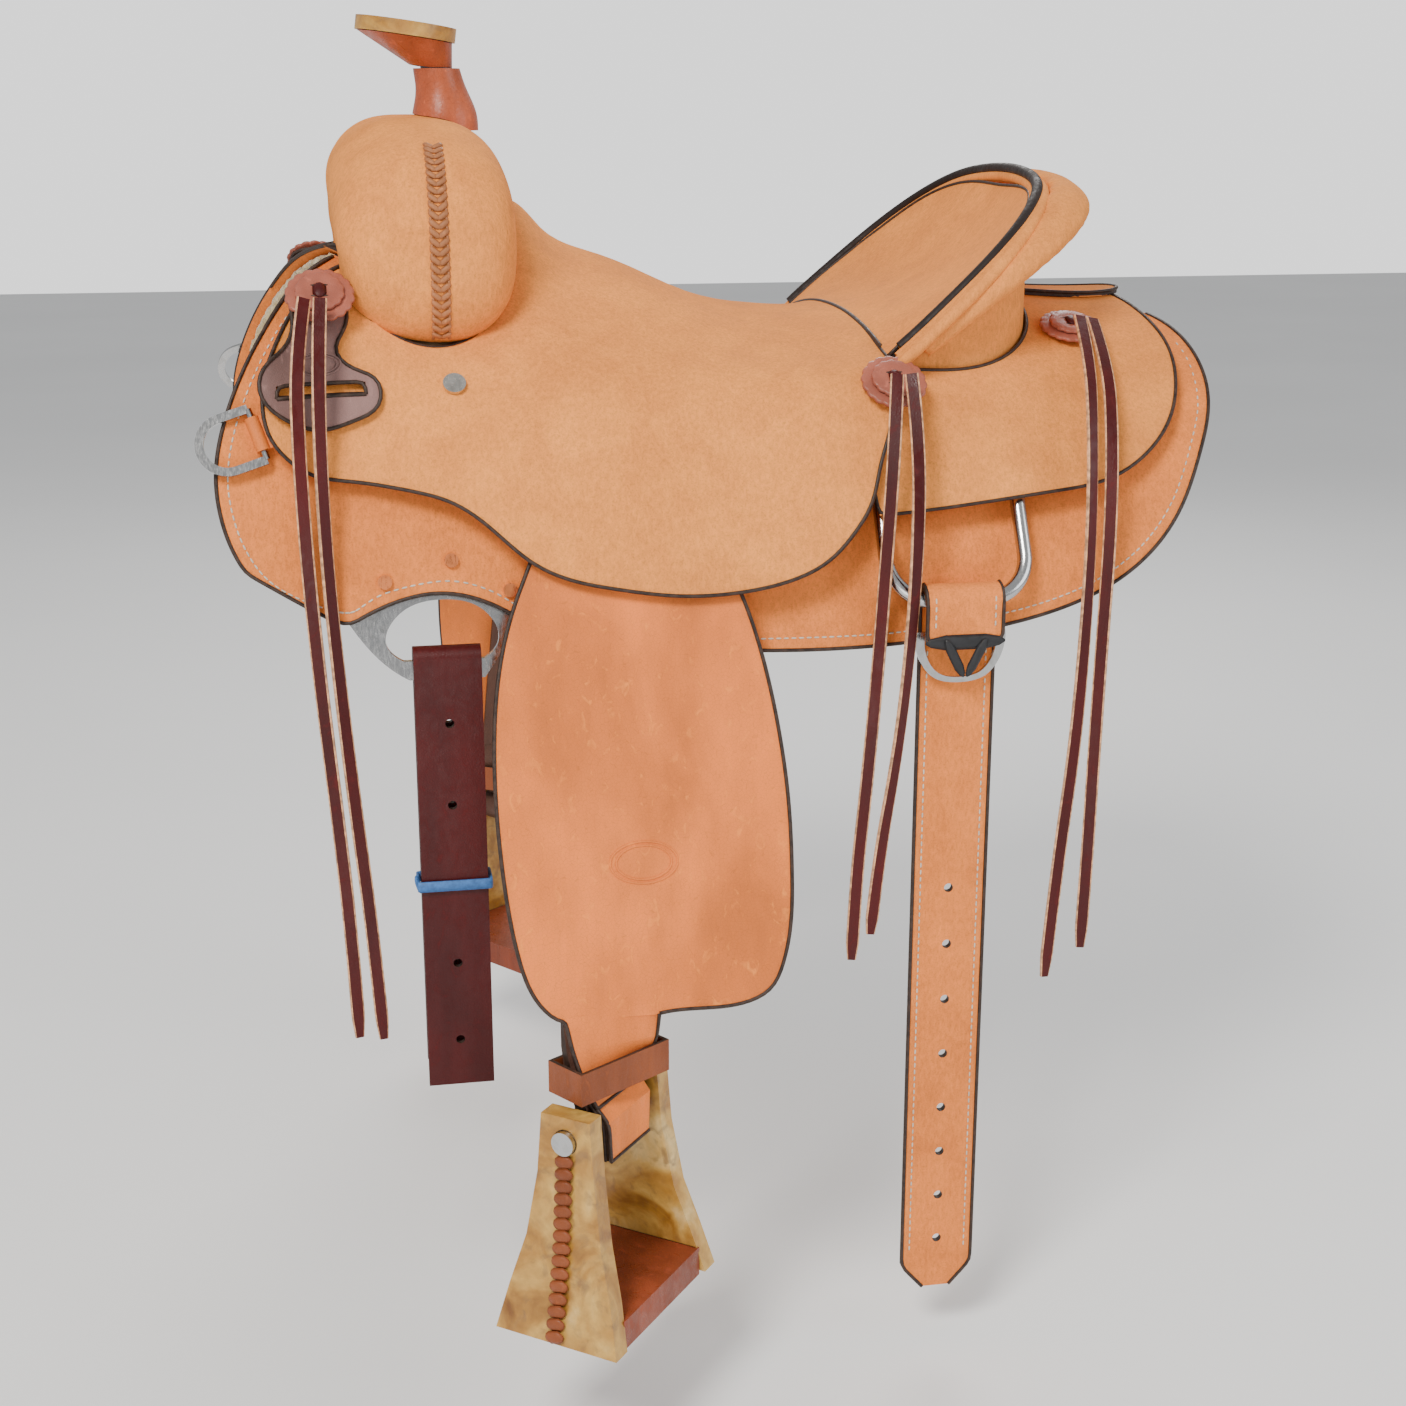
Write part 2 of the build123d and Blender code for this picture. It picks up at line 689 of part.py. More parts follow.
def plate_y(z):
    """Middle of the rigging plate's thickness."""
    return 209.5 + PLATE_LEAN * (PLATE_TOP_Z - z)


def leaning_slab(runs, inner, outer):
    """A side outline cut from a slab that leans with the rigging plate."""
    profile = [[(plate_y(-90) + inner, -90), (plate_y(-230) + inner, -230)],
               [(plate_y(-230) + inner, -230), (plate_y(-230) + outer, -230)],
               [(plate_y(-230) + outer, -230), (plate_y(-90) + outer, -90)],
               [(plate_y(-90) + outer, -90), (plate_y(-90) + inner, -90)]]
    face = outline_face(profile, Plane.YZ).moved(Location((100, 0, 0)))
    return extrude(face, amount=220, dir=(1, 0, 0)) & side_prism(runs, 150, 300)


def rigging_plates():
    """Stainless in-skirt plates with a D-shaped opening for the tie strap."""
    opening = [
        [(238, PLATE_BAR_TOP), (249, -172), (238, -156), (212, -149), (186, -156), (176, -172),
         (186, PLATE_BAR_TOP)],
        [(186, PLATE_BAR_TOP), (238, PLATE_BAR_TOP)],
    ]
    half = PLATE_THICKNESS / 2
    plate = leaning_slab(PLATE_OUTLINE, -half, half) - side_prism(opening, 150, 300)
    both_sides(plate, "rigging_plate")


def rivets():
    """Copper rivet heads that hold the plates through the skirts."""
    heads = []
    for x, z in RIVETS:
        depth = crest(x) - z
        head = disc_on(surface_axis(x, depth, 0.001), 4.6, 0.5, 2.6)
        heads += [*head.solids(), *mirror(head, about=Plane.XZ).solids()]
    save(Compound(children=heads), "rigging_rivets")


STRAP_CENTRE_X, STRAP_WIDTH, STRAP_RUN = 210.5, 44.0, 4.5
STRAP_END_Z = -485.0
STRAP_HOLES_Z = (-228.0, -284.0, -340.0, -396.0, -452.0)
STRAP_HOLE_RADIUS = 3.0


def folded_strap(gap):
    """A strap folded over the plate's bar; its two runs hang down together."""
    y = plate_y((PLATE_BAR_TOP - 199) / 2)
    inner, outer = gap / 2, gap / 2 + STRAP_RUN
    x0 = STRAP_CENTRE_X - STRAP_WIDTH / 2
    x1 = STRAP_CENTRE_X + STRAP_WIDTH / 2
    fold_z = PLATE_BAR_TOP + 1
    fold = cylinder((x0, y, fold_z), (x1, y, fold_z), outer)
    fold = fold - cylinder((x0, y, fold_z), (x1, y, fold_z), inner)
    fold = fold & box(x0, x1, y - 20, y + 20, fold_z, fold_z + 20)
    front = box(x0, x1, y + inner, y + outer, STRAP_END_Z, fold_z)
    back = box(x0, x1, y - outer, y - inner, STRAP_END_Z + 14, fold_z)
    strap = fold + front + back
    for z in STRAP_HOLES_Z:
        strap = strap - cylinder((STRAP_CENTRE_X, y - 30, z), (STRAP_CENTRE_X, y + 30, z),
                                 STRAP_HOLE_RADIUS)
    return strap


# rear rigging dee: a round bar hung between skirt and rear jockey
DEE_X, DEE_HALF_WIDTH, DEE_BAR = -130.0, 48.0, 5.2
DEE_TOP_Z, DEE_BOTTOM_Z = -62.0, -157.0
DEE_TOP_Y, DEE_BOTTOM_Y = 187.0, 242.0


def rear_dees():
    lean = Vector(0, DEE_BOTTOM_Y - DEE_TOP_Y, DEE_BOTTOM_Z - DEE_TOP_Z)
    length = lean.length
    plane = Plane(origin=(DEE_X, DEE_TOP_Y, DEE_TOP_Z), x_dir=(1, 0, 0),
                  z_dir=Vector(1, 0, 0).cross(lean.normalized() * -1))
    w = DEE_HALF_WIDTH
    corners = [(-w, 0), (-w, -length), (w, -length), (w, 0)]
    path = FilletPolyline(*[plane.from_local_coords(Vector(a, b, 0)) for a, b in corners],
                          radius=30)
    ring = sweep(Plane(path @ 0, z_dir=path % 0) * Circle(DEE_BAR), path=path)
    top = cylinder((DEE_X - w, DEE_TOP_Y, DEE_TOP_Z), (DEE_X + w, DEE_TOP_Y, DEE_TOP_Z), DEE_BAR)
    both_sides(ring + top, "rear_dee")


BILLET_WIDTH, BILLET_THICKNESS = 52.0, 5.0
BILLET_END_Z = -676.0
BILLET_HOLES_Z = (-364, -406, -448, -490, -532, -567, -602, -637)
BILLET_HOLE_RADIUS = 3.2
FOLD_CLEARANCE = 1.3
FLAP_END_Z = -183.0
RING_Z = -180.5


def rear_billet():
    """The near flank cinch billet, folded over its dee and punched with a row of holes."""
    x0, x1 = DEE_X - BILLET_WIDTH / 2, DEE_X + BILLET_WIDTH / 2
    inner = DEE_BAR + FOLD_CLEARANCE
    outer = inner + BILLET_THICKNESS
    y, z = DEE_BOTTOM_Y, DEE_BOTTOM_Z
    fold = cylinder((x0, y, z), (x1, y, z), outer) - cylinder((x0, y, z), (x1, y, z), inner)
    fold = fold & box(x0, x1, y - 20, y + 20, z, z + 20)
    body = box(x0, x1, y - outer, y - inner, BILLET_END_Z, z)
    tip = side_prism(
        [[(x1, z), (x1, BILLET_END_Z + 18)], [(x1, BILLET_END_Z + 18), (DEE_X + 10, BILLET_END_Z)],
         [(DEE_X + 10, BILLET_END_Z), (DEE_X - 10, BILLET_END_Z)],
         [(DEE_X - 10, BILLET_END_Z), (x0, BILLET_END_Z + 18)],
         [(x0, BILLET_END_Z + 18), (x0, z)], [(x0, z), (x1, z)]], 200, 300)
    flap = box(x0, x1, y + inner, y + outer, FLAP_END_Z, z)
    billet = fold + (body & tip) + flap
    for hole_z in BILLET_HOLES_Z:
        billet = billet - cylinder((DEE_X, y - 40, hole_z), (DEE_X, y + 5, hole_z),
                                   BILLET_HOLE_RADIUS)
    save(billet, "rear_billet_left")


def billet_ring():
    """The flat D ring held in the fold of the near billet."""
    width, drop = 31.0, 33.0
    outline = [
        [(DEE_X - width, RING_Z + 2.5), (DEE_X + width, RING_Z + 2.5)],
        [(DEE_X + width, RING_Z + 2.5), (DEE_X + width - 2, RING_Z - 14), (DEE_X + 18, RING_Z - 29),
         (DEE_X, RING_Z - drop), (DEE_X - 18, RING_Z - 29), (DEE_X - width + 2, RING_Z - 14),
         (DEE_X - width, RING_Z + 2.5)],
    ]
    inside = [[(DEE_X + (x - DEE_X) * 0.80, RING_Z - 3 + (z - RING_Z) * 0.80) for x, z in run]
              for run in outline]
    y = DEE_BOTTOM_Y
    ring = side_prism(outline, y - 1.5, y + 1.5) - side_prism(inside, y - 9, y + 9)
    save(ring, "billet_ring_left")


# breast-collar dee: its straight bar, and the way it points
BREAST_TOP, BREAST_BOTTOM = Vector(319, 193, -30), Vector(311, 201, -53)
BREAST_BAR = 2.2


def breast_frame():
    point, out = surface_axis(323, 142, 0.001)
    bar = (BREAST_TOP - BREAST_BOTTOM).normalized()
    forward = bar.cross(out).normalized()
    if forward.X < 0:
        forward = forward * -1
    return point + out * 5.4, forward, forward.cross(bar).normalized()


def breast_dees_and_tabs():
    origin, forward, normal = breast_frame()
    if normal.Y < 0:
        normal = normal * -1
    bar = normal.cross(forward)
    plane = Plane(origin=origin, x_dir=forward, z_dir=normal)
    half, r, straight = 17.0, 20.0, 20.0
    behind = Pos(-50, 0) * Rectangle(100, 100)
    outer = Pos(straight, 0) * Circle(r) + Pos(straight / 2, 0) * Rectangle(straight, 2 * r)
    inner = Pos(straight, 0) * Circle(r - 5.5) + Rectangle(2 * straight, 2 * r - 11)
    band = extrude(plane * (outer - inner - behind), amount=1.5, both=True)
    rod = cylinder(origin - bar * half, origin + bar * half, BREAST_BAR)
    both_sides(band + rod, "breast_dee")
    loop = cylinder(origin - bar * 11, origin + bar * 11, 4.6)
    tail_plane = Plane(origin=origin - forward * 4.5, x_dir=forward, z_dir=normal)
    tail = extrude(tail_plane * Rectangle(9, 22), amount=1.2, both=True)
    tab = (loop + tail) - cylinder(origin - bar * 12, origin + bar * 12, BREAST_BAR + 0.4)
    save(Compound(children=[*tab.solids(), *mirror(tab, about=Plane.XZ).solids()]), "rigging_tabs")


# ----------------------------------------------------- fender and stirrup leathers
FENDER_OUTLINE = [
    [(118, -60), (128, -78), (144, -100), (156, -124), (167, -148), (178, -182), (185, -230),
     (186, -268), (184, -310), (177, -361), (165, -394), (152, -407)],
    [(152, -407), (90, -407)],
    [(90, -407), (59, -405), (28, -403), (12, -395), (4, -380), (-2, -354), (-4, -322),
     (-4, -277), (0, -230), (8, -184), (19, -147), (38, -105), (50, -78), (58, -60)],
    [(58, -60), (118, -60)],
]


def strap_layer(inner, outer, x0, x1, z_top=-42.0, z_low=-420.0):
    """A sheet that follows the stirrup leathers' curve, between two offsets from it."""
    steps = [BEND_Z + (z_low - BEND_Z) * i / 5 for i in range(6)]
    runs = []
    for offset in (inner, outer):
        straight = [(leather_y(z_top) + offset, z_top), (leather_y(BEND_Z) + offset, BEND_Z)]
        bent = [(leather_y(z) + offset, z) for z in steps]
        runs.append((straight, bent))
    (a0, a1), (b0, b1) = runs
    outline = [a0, a1, [a1[-1], b1[-1]], b1[::-1], b0[::-1], [b0[0], a0[0]]]
    face = outline_face(outline, Plane.YZ).moved(Location((x0, 0, 0)))
    return extrude(face, amount=x1 - x0, dir=(1, 0, 0))


def turned_rectangle(z, x, y, turn, along, near, far):
    """A level rectangle turned about the vertical; near and far are its two faces."""
    u = Vector(math.cos(turn), math.sin(turn), 0)
    n = Vector(-math.sin(turn), math.cos(turn), 0)
    centre = Vector(x, y, z)
    points = [centre + u * a + n * b for a, b in
              ((-along, near), (along, near), (along, far), (-along, far))]
    return Wire(Polyline(*points, close=True).edges())


def turned_block(rows):
    return Solid.make_loft([turned_rectangle(*row) for row in rows], ruled=True)


STACK = 2 * STRAP + LAYER_GAP
NECK_ROWS = [(-405, 117.5, 0.0), (-425, 119, 0.33), (-442, 121, 0.66), (-459, 122, 1.0)]


def stirrup_centre_y():
    return leather_y(STIRRUP_TOP) + STACK / 2


def neck_axis(z, x, share):
    return z, x, leather_y(z) + STACK / 2, share * STIRRUP_TURN


def stirrup_leathers():
    """Leathers in two runs, turned at the bottom and looped round the stirrup's roller."""
    half = STIRRUP_LEATHER_WIDTH / 2
    inner = strap_layer(0, STRAP, -20, 200)
    outer = strap_layer(STRAP + LAYER_GAP, STACK, -20, 200)
    top = strap_layer(0, STACK, -20, 200) & box(-20, 200, 100, 300, -50, -42)
    shape = [[(88 - half, -42), (118 - half, -406)], [(118 - half, -406), (118 + half, -406)],
             [(118 + half, -406), (88 + half, -42)], [(88 + half, -42), (88 - half, -42)]]
    runs = (inner + outer + top) & side_prism(shape, 100, 400)
    rows = [(*neck_axis(*row), half, -STACK / 2, STACK / 2) for row in NECK_ROWS]
    neck = turned_block(rows)
    bolt_z = STIRRUP_TOP - BOLT_DROP
    u = Vector(math.cos(STIRRUP_TURN), math.sin(STIRRUP_TURN), 0)
    centre = Vector(STIRRUP_X, stirrup_centre_y(), bolt_z)
    a, b = centre - u * half, centre + u * half
    end_row = (bolt_z + 8, STIRRUP_X, stirrup_centre_y(), STIRRUP_TURN, half, -STACK / 2, STACK / 2)
    low = turned_block([rows[-1], end_row])
    loop = (low + cylinder(a, b, 13.0)) - cylinder(a - u * 5, b + u * 5, 8.8)
    return runs + neck + loop


def fenders():
    panel = strap_layer(STACK + 1.6, STACK + 1.6 + 4.5, -20, 200)
    panel = panel & side_prism(FENDER_OUTLINE, 100, 400)
    near = STACK / 2 + 1.6
    widths = (31, 30, 29, 28)
    rows = [(*neck_axis(*row), w, near, near + 4.5) for row, w in zip(NECK_ROWS, widths)]
    y = stirrup_centre_y()
    bolt_z = STIRRUP_TOP - BOLT_DROP
    tail = [rows[-1], (bolt_z + 6, STIRRUP_X, y, STIRRUP_TURN, 27, 13.8, 18.3),
            (bolt_z - 22, STIRRUP_X, y, STIRRUP_TURN, 25, 13.8, 18.3)]
    return panel + turned_block(rows) + turned_block(tail)


def hobble_straps():
    """Short strap buckled round the leathers above the stirrup."""
    z, x, y, turn = neck_axis(*NECK_ROWS[2])
    outer = turned_block([(z - 11, x, y, turn, 38.5, -13, 19), (z + 11, x, y, turn, 38.5, -13, 19)])
    hole = turned_block([(z - 12, x, y, turn, 36, -10.5, 16.5), (z + 12, x, y, turn, 36, -10.5, 16.5)])
    return outer - hole


# ------------------------------------------------------------------- stirrups
PANEL = 11.0                 # thickness of the wooden side
HIDE = 1.6                   # rawhide cover


def stirrup_point(side, along, z_down, depth):
    """A point given across the stirrup, out from a side, down from the top and in depth."""
    u = Vector(math.cos(STIRRUP_TURN), math.sin(STIRRUP_TURN), 0)
    n = Vector(-math.sin(STIRRUP_TURN), math.cos(STIRRUP_TURN), 0)
    centre = Vector(STIRRUP_X, stirrup_centre_y(), STIRRUP_TOP - z_down)
    return centre + u * (side * along) + n * depth


# down from the top: outside half width, half depth
SIDE_ROWS = [(0, 51, 18), (40, 52, 21), (85, 56, 28), (120, 62, 38), (150, 68, 45)]


def side_block(side, grow, down=0.0):
    """One side of the stirrup grown by a skin's thickness and carried on below its foot."""
    rows = [(-grow, 51, 18), *SIDE_ROWS[1:-1], (150 + grow, 68 + grow * 0.2, 45 + grow * 0.25)]
    if down:
        rows.append((150 + grow + down, 68 + down * 0.2, 45 + down * 0.25))
    wires = []
    for z, along, deep in rows:
        out, back = along - HIDE + grow, along - HIDE - PANEL - grow
        d = deep - HIDE + grow
        corners = [(out, -d), (out, d), (back, d), (back, -d)]
        points = [stirrup_point(side, a, z, b) for a, b in corners]
        wires.append(Wire(Polyline(*points, close=True).edges()))
    return Solid.make_loft(wires, ruled=True)


def level_block(z0, z1, along, depth):
    rows = [[stirrup_point(1, a, z, b) for a, b in
             ((-along, -depth), (along, -depth), (along, depth), (-along, depth))]
            for z in (z0, z1)]
    return Solid.make_loft([Wire(Polyline(*r, close=True).edges()) for r in rows], ruled=True)


def bolt_line(half, radius):
    depth = BOLT_DROP
    return cylinder(stirrup_point(1, -half, depth, 0), stirrup_point(1, half, depth, 0), radius)


def stirrups():
    """Wooden bell stirrup with rawhide-covered sides, a leather-covered tread and its bolt."""
    tread = level_block(136, 150, 55.5, 38)
    frame = side_block(1, 0) + side_block(-1, 0) + tread
    frame = frame - bolt_line(70, 4.3)
    both_sides(frame, "stirrup_frame")
    hides = []
    for side in (1, -1):
        hide = side_block(side, HIDE) - side_block(side, 0.15)
        hide = hide - level_block(132, 154, 62, 40) - bolt_line(70, 8.6)
        hides += hide.solids()
    both_sides(Compound(children=hides), "stirrup_rawhide")
    leather = level_block(132.4, 153.2, 52.0, 42) - level_block(135.6, 150.4, 70, 38.4)
    leather = leather - side_block(1, HIDE + 0.3, 10) - side_block(-1, HIDE + 0.3, 10)
    both_sides(leather, "stirrup_tread")
    lacing = []
    for side in (1, -1):
        rows = []
        for z, along, _ in SIDE_ROWS:
            points = [stirrup_point(side, a, max(z, 24), b) for a, b in
                      ((along + 0.9, -6), (along + 0.9, 6), (along + 3.1, 6), (along + 3.1, -6))]
            rows.append(Wire(Polyline(*points, close=True).edges()))
        lacing += Solid.make_loft(rows, ruled=True).solids()
    both_sides(Compound(children=lacing), "stirrup_lacing")
    bolt = bolt_line(54, 4.2) + bolt_line(36.6, 8.7)
    for side in (1, -1):
        head = cylinder(stirrup_point(side, 51.8, BOLT_DROP, 0),
                        stirrup_point(side, 55.5, BOLT_DROP, 0), 8.0)
        bolt = bolt + head
    both_sides(bolt, "stirrup_bolt")


# --------------------------------------------------------------- saddle strings
STRING_SIZE = 9.0            # width of the flat leather strings
STRING_ROUTES = {
    "front_string_a": [(280, 184, 42), (283, 211, 10), (285, 225, -48), (284, 230, -125),
                       (279, 232, -210), (273, 233, -290), (266, 233, -370), (262, 233, -446)],
    "front_string_b": [(290, 183, 42), (297, 210, 7), (298, 224, -48), (296, 229, -125),
                       (291, 231, -210), (285, 232, -290), (280, 232, -370), (278, 232, -444)],
    "mid_string_a": [(-89, 217, -10), (-83, 238, -50), (-78, 243, -125), (-74, 241, -205),
                     (-68, 241, -285), (-62, 241, -350), (-60, 241, -410)],
    "mid_string_b": [(-99, 216, -10), (-99, 240, -52), (-96, 253, -125), (-93, 247, -205),
                     (-88, 241, -270), (-78, 241, -335), (-73, 241, -392)],
    "rear_string_a": [(-246, 128, 16), (-236, 178, -8), (-226, 216, -48), (-222, 234, -110),
                      (-220, 237, -190), (-216, 238, -270), (-208, 238, -350), (-202, 238, -435)],
    "rear_string_b": [(-256, 126, 14), (-250, 176, -12), (-241, 214, -54), (-236, 233, -116),
                      (-233, 236, -190), (-231, 237, -270), (-230, 237, -345), (-228, 237, -415)],
}


def bend_radii(points):
    """The radius of the arc at each corner: as wide as the shorter run beside it allows."""
    radii = []
    for before, corner, after in zip(points, points[1:], points[2:]):
        a, b = corner - before, after - corner
        turn = math.radians(a.get_angle(b))
        radii.append(0.45 * min(a.length, b.length) / math.tan(turn / 2))
    return radii


def saddle_strings():
    """Strings that hang from the near-side rosettes, as limp tubes of their own width."""
    for name, route in STRING_ROUTES.items():
        points = [Vector(*p) for p in route]
        radii = bend_radii(points)
        line = FilletPolyline(*points, radius=radii)
        string = sweep(Plane(line @ 0, z_dir=line % 0) * Circle(STRING_SIZE / 2), path=line)
        print(name, "bend radii", [round(r) for r in radii], "length", round(line.length))
        save(string, name)


skirts()
save(Compound(children=fleece_linings()), "sheepskin_lining")
save(Compound(children=tree_bars()), "tree_bars")
seat()
ground_seat()
tree_cantle()
cantle_back()
cheyenne_roll()
cantle_binding()
rear_jockeys()
spine_plate()
fork_and_cover()
horn()
rosettes()
keeper_plates()
seat_screws()
rigging_plates()
rivets()
save(folded_strap(PLATE_THICKNESS + 4.5), "tie_strap_left")
rear_dees()
rear_billet()
billet_ring()
breast_dees_and_tabs()
both_sides(stirrup_leathers(), "stirrup_leather")
both_sides(fenders(), "fender")
both_sides(hobble_straps(), "hobble_strap")
stirrups()
saddle_strings()
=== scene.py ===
import math

import bpy
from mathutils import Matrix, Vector, noise
from mathutils.bvhtree import BVHTree


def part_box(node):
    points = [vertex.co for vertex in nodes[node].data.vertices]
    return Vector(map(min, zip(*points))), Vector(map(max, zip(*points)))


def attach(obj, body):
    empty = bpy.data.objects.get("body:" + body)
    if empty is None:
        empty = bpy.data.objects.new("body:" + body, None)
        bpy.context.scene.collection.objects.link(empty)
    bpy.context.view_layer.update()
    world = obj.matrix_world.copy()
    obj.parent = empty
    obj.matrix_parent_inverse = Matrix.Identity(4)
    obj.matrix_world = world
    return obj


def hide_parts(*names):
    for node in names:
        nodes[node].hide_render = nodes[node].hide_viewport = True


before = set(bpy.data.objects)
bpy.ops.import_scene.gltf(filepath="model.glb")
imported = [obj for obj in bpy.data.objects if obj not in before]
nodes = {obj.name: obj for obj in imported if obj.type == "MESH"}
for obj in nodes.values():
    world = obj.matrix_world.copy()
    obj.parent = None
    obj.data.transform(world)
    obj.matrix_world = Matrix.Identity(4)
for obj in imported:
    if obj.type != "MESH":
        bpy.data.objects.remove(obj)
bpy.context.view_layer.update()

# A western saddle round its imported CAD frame: materials, stitching, strings and soft pieces.
# Metres throughout; +X is the horse's head, +Y the near side, +Z up. Tables are in millimetres.
MM = 0.001


def metres(points):
    return [Vector(p) * MM for p in points]


# ------------------------------------------------------------------ materials
class Shade:
    """A material's node tree, with short ways to add the nodes most materials need."""

    def __init__(self, name, roughness=0.6, metallic=0.0, coat=0.0, sheen=0.0, specular=0.35):
        self.material = bpy.data.materials.new(name)
        self.material.use_nodes = True
        self.tree = self.material.node_tree
        self.surface = self.tree.nodes["Principled BSDF"]
        for socket, value in (
            ("Roughness", roughness),
            ("Metallic", metallic),
            ("Coat Weight", coat),
            ("Sheen Weight", sheen),
            ("Specular IOR Level", specular),
        ):
            self.surface.inputs[socket].default_value = value
        self.surface.inputs["Coat Roughness"].default_value = 0.25
        self.coords = self.tree.nodes.new("ShaderNodeTexCoord").outputs["Object"]
        self.bump = None

    def link(self, value, socket):
        if isinstance(value, bpy.types.NodeSocket):
            self.tree.links.new(value, socket)
        else:
            socket.default_value = value

    def mapped(self, stretch):
        node = self.tree.nodes.new("ShaderNodeMapping")
        node.inputs["Scale"].default_value = stretch
        self.link(self.coords, node.inputs["Vector"])
        return node.outputs["Vector"]

    def noise(self, scale, detail=5.0, stretch=(1, 1, 1), distortion=0.0):
        node = self.tree.nodes.new("ShaderNodeTexNoise")
        node.inputs["Scale"].default_value = scale
        node.inputs["Detail"].default_value = detail
        node.inputs["Distortion"].default_value = distortion
        self.link(self.mapped(stretch), node.inputs["Vector"])
        return node.outputs["Fac"]

    def cells(self, scale, stretch=(1, 1, 1)):
        node = self.tree.nodes.new("ShaderNodeTexVoronoi")
        node.feature = "DISTANCE_TO_EDGE"
        node.inputs["Scale"].default_value = scale
        self.link(self.mapped(stretch), node.inputs["Vector"])
        return node.outputs["Distance"]

    def ramp(self, value, *stops):
        node = self.tree.nodes.new("ShaderNodeValToRGB")
        elements = node.color_ramp.elements
        while len(elements) < len(stops):
            elements.new(0.5)
        for element, (place, colour) in zip(elements, stops):
            element.position = place
            element.color = (*colour, 1.0) if len(colour) == 3 else colour
        self.link(value, node.inputs["Fac"])
        return node.outputs["Color"]

    def grey(self, value, low, high, start=0.3, end=0.7):
        return self.ramp(value, (start, (low,) * 3), (end, (high,) * 3))

    def mix(self, share, a, b, mode="MIX"):
        node = self.tree.nodes.new("ShaderNodeMix")
        node.data_type = "RGBA"
        node.blend_type = mode
        self.link(share, node.inputs[0])
        for value, socket in ((a, node.inputs[6]), (b, node.inputs[7])):
            self.link(value if isinstance(value, bpy.types.NodeSocket) else (*value, 1.0), socket)
        return node.outputs[2]

    def relief(self, height, distance, strength=1.0):
        node = self.tree.nodes.new("ShaderNodeBump")
        node.inputs["Distance"].default_value = distance
        node.inputs["Strength"].default_value = strength
        self.link(height, node.inputs["Height"])
        if self.bump is not None:
            self.link(self.bump, node.inputs["Normal"])
        self.bump = node.outputs["Normal"]

    def done(self, colour, roughness=None):
        self.link(colour if isinstance(colour, bpy.types.NodeSocket) else (*colour, 1.0),
                  self.surface.inputs["Base Color"])
        if roughness is not None:
            self.link(roughness, self.surface.inputs["Roughness"])
        if self.bump is not None:
            self.link(self.bump, self.surface.inputs["Normal"])
        return self.material


def times(colour, factor):
    return tuple(min(c * factor, 1.0) for c in colour)


def rough_out(name, colour):
    """Leather with its flesh side out: a matt, velvety nap with rubbed and darker places."""
    s = Shade(name, sheen=0.08, specular=0.12)
    s.surface.inputs["Sheen Roughness"].default_value = 0.5
    s.surface.inputs["Sheen Tint"].default_value = (*times(colour, 1.5), 1.0)
    broad = s.noise(9, 4, distortion=0.4)
    patches = s.noise(38, 6, distortion=0.8)
    fibre = s.noise(420, 5, (1, 1, 0.45), 0.4)
    specks = s.noise(900, 2)
    base = s.ramp(broad, (0.34, times(colour, 0.82)), (0.66, times(colour, 1.10)))
    worn = s.ramp(patches, (0.3, times(colour, 0.78)), (0.7, times(colour, 1.12)))
    base = s.mix(0.55, base, worn)
    base = s.mix(0.45, base, s.grey(fibre, 0.55, 1.0, 0.3, 0.68), "MULTIPLY")
    base = s.mix(0.30, base, s.grey(specks, 0.45, 1.0, 0.32, 0.5), "MULTIPLY")
    s.relief(patches, 0.0009, 0.35)
    s.relief(fibre, 0.0006, 0.75)
    return s.done(base, s.grey(patches, 0.84, 0.98))


def smooth_leather(name, colour, shine=0.42, grain=520, depth=0.0003, coat=0.0, streak=1.0):
    """Grain side out: fine pores, long darker streaks, dull scuffs and an oily shine."""
    s = Shade(name, coat=coat, specular=0.28)
    broad = s.noise(13, 4, (1, 1, 0.5), 0.5)
    pores = s.cells(grain)
    streaks = s.noise(70, 5, (1, 1, 0.16), 0.3)
    scuffs = s.noise(130, 7, (1, 1, 0.6), 1.2)
    base = s.ramp(broad, (0.3, times(colour, 0.68)), (0.7, times(colour, 1.18)))
    base = s.mix(0.45 * streak, base, s.grey(streaks, 0.52, 1.0, 0.32, 0.62), "MULTIPLY")
    base = s.mix(0.5, base, s.grey(pores, 0.6, 1.0, 0.0, 0.05), "MULTIPLY")
    worn = s.grey(scuffs, 0.0, 0.55, 0.6, 0.75)
    base = s.mix(worn, base, times(colour, 1.55))
    s.relief(streaks, 0.0006, 0.3)
    s.relief(pores, depth, 0.55)
    return s.done(base, s.grey(scuffs, shine - 0.08, shine + 0.28, 0.35, 0.75))


def edge_finish(name, colour):
    """A cut and burnished edge, with its layers just showing; the rosettes' slots use it as painted
    shade in their openings.
    """
    s = Shade(name, roughness=0.5)
    layers = s.noise(260, 4, (1, 1, 1))
    base = s.ramp(layers, (0.35, times(colour, 0.6)), (0.7, times(colour, 1.7)))
    s.relief(layers, 0.0005, 0.5)
    return s.done(base, s.grey(layers, 0.38, 0.66))


def hide_finish(name):
    """Varnished rawhide: mottled khaki to brown, hard, wrinkled and glossy."""
    s = Shade(name, coat=0.2)
    cloud = s.noise(26, 6, distortion=1.0)
    spots = s.noise(85, 6, distortion=0.6)
    grime = s.noise(220, 4)
    base = s.ramp(cloud, (0.28, (0.20, 0.075, 0.015)), (0.45, (0.42, 0.20, 0.035)),
                  (0.6, (0.62, 0.36, 0.085)), (0.78, (0.78, 0.56, 0.24)))
    base = s.mix(s.grey(spots, 0.0, 0.7, 0.55, 0.72), base, (0.22, 0.12, 0.05))
    base = s.mix(0.35, base, s.grey(grime, 0.5, 1.0), "MULTIPLY")
    s.relief(spots, 0.0012, 0.45)
    s.relief(grime, 0.0004, 0.5)
    return s.done(base, s.grey(cloud, 0.28, 0.5))


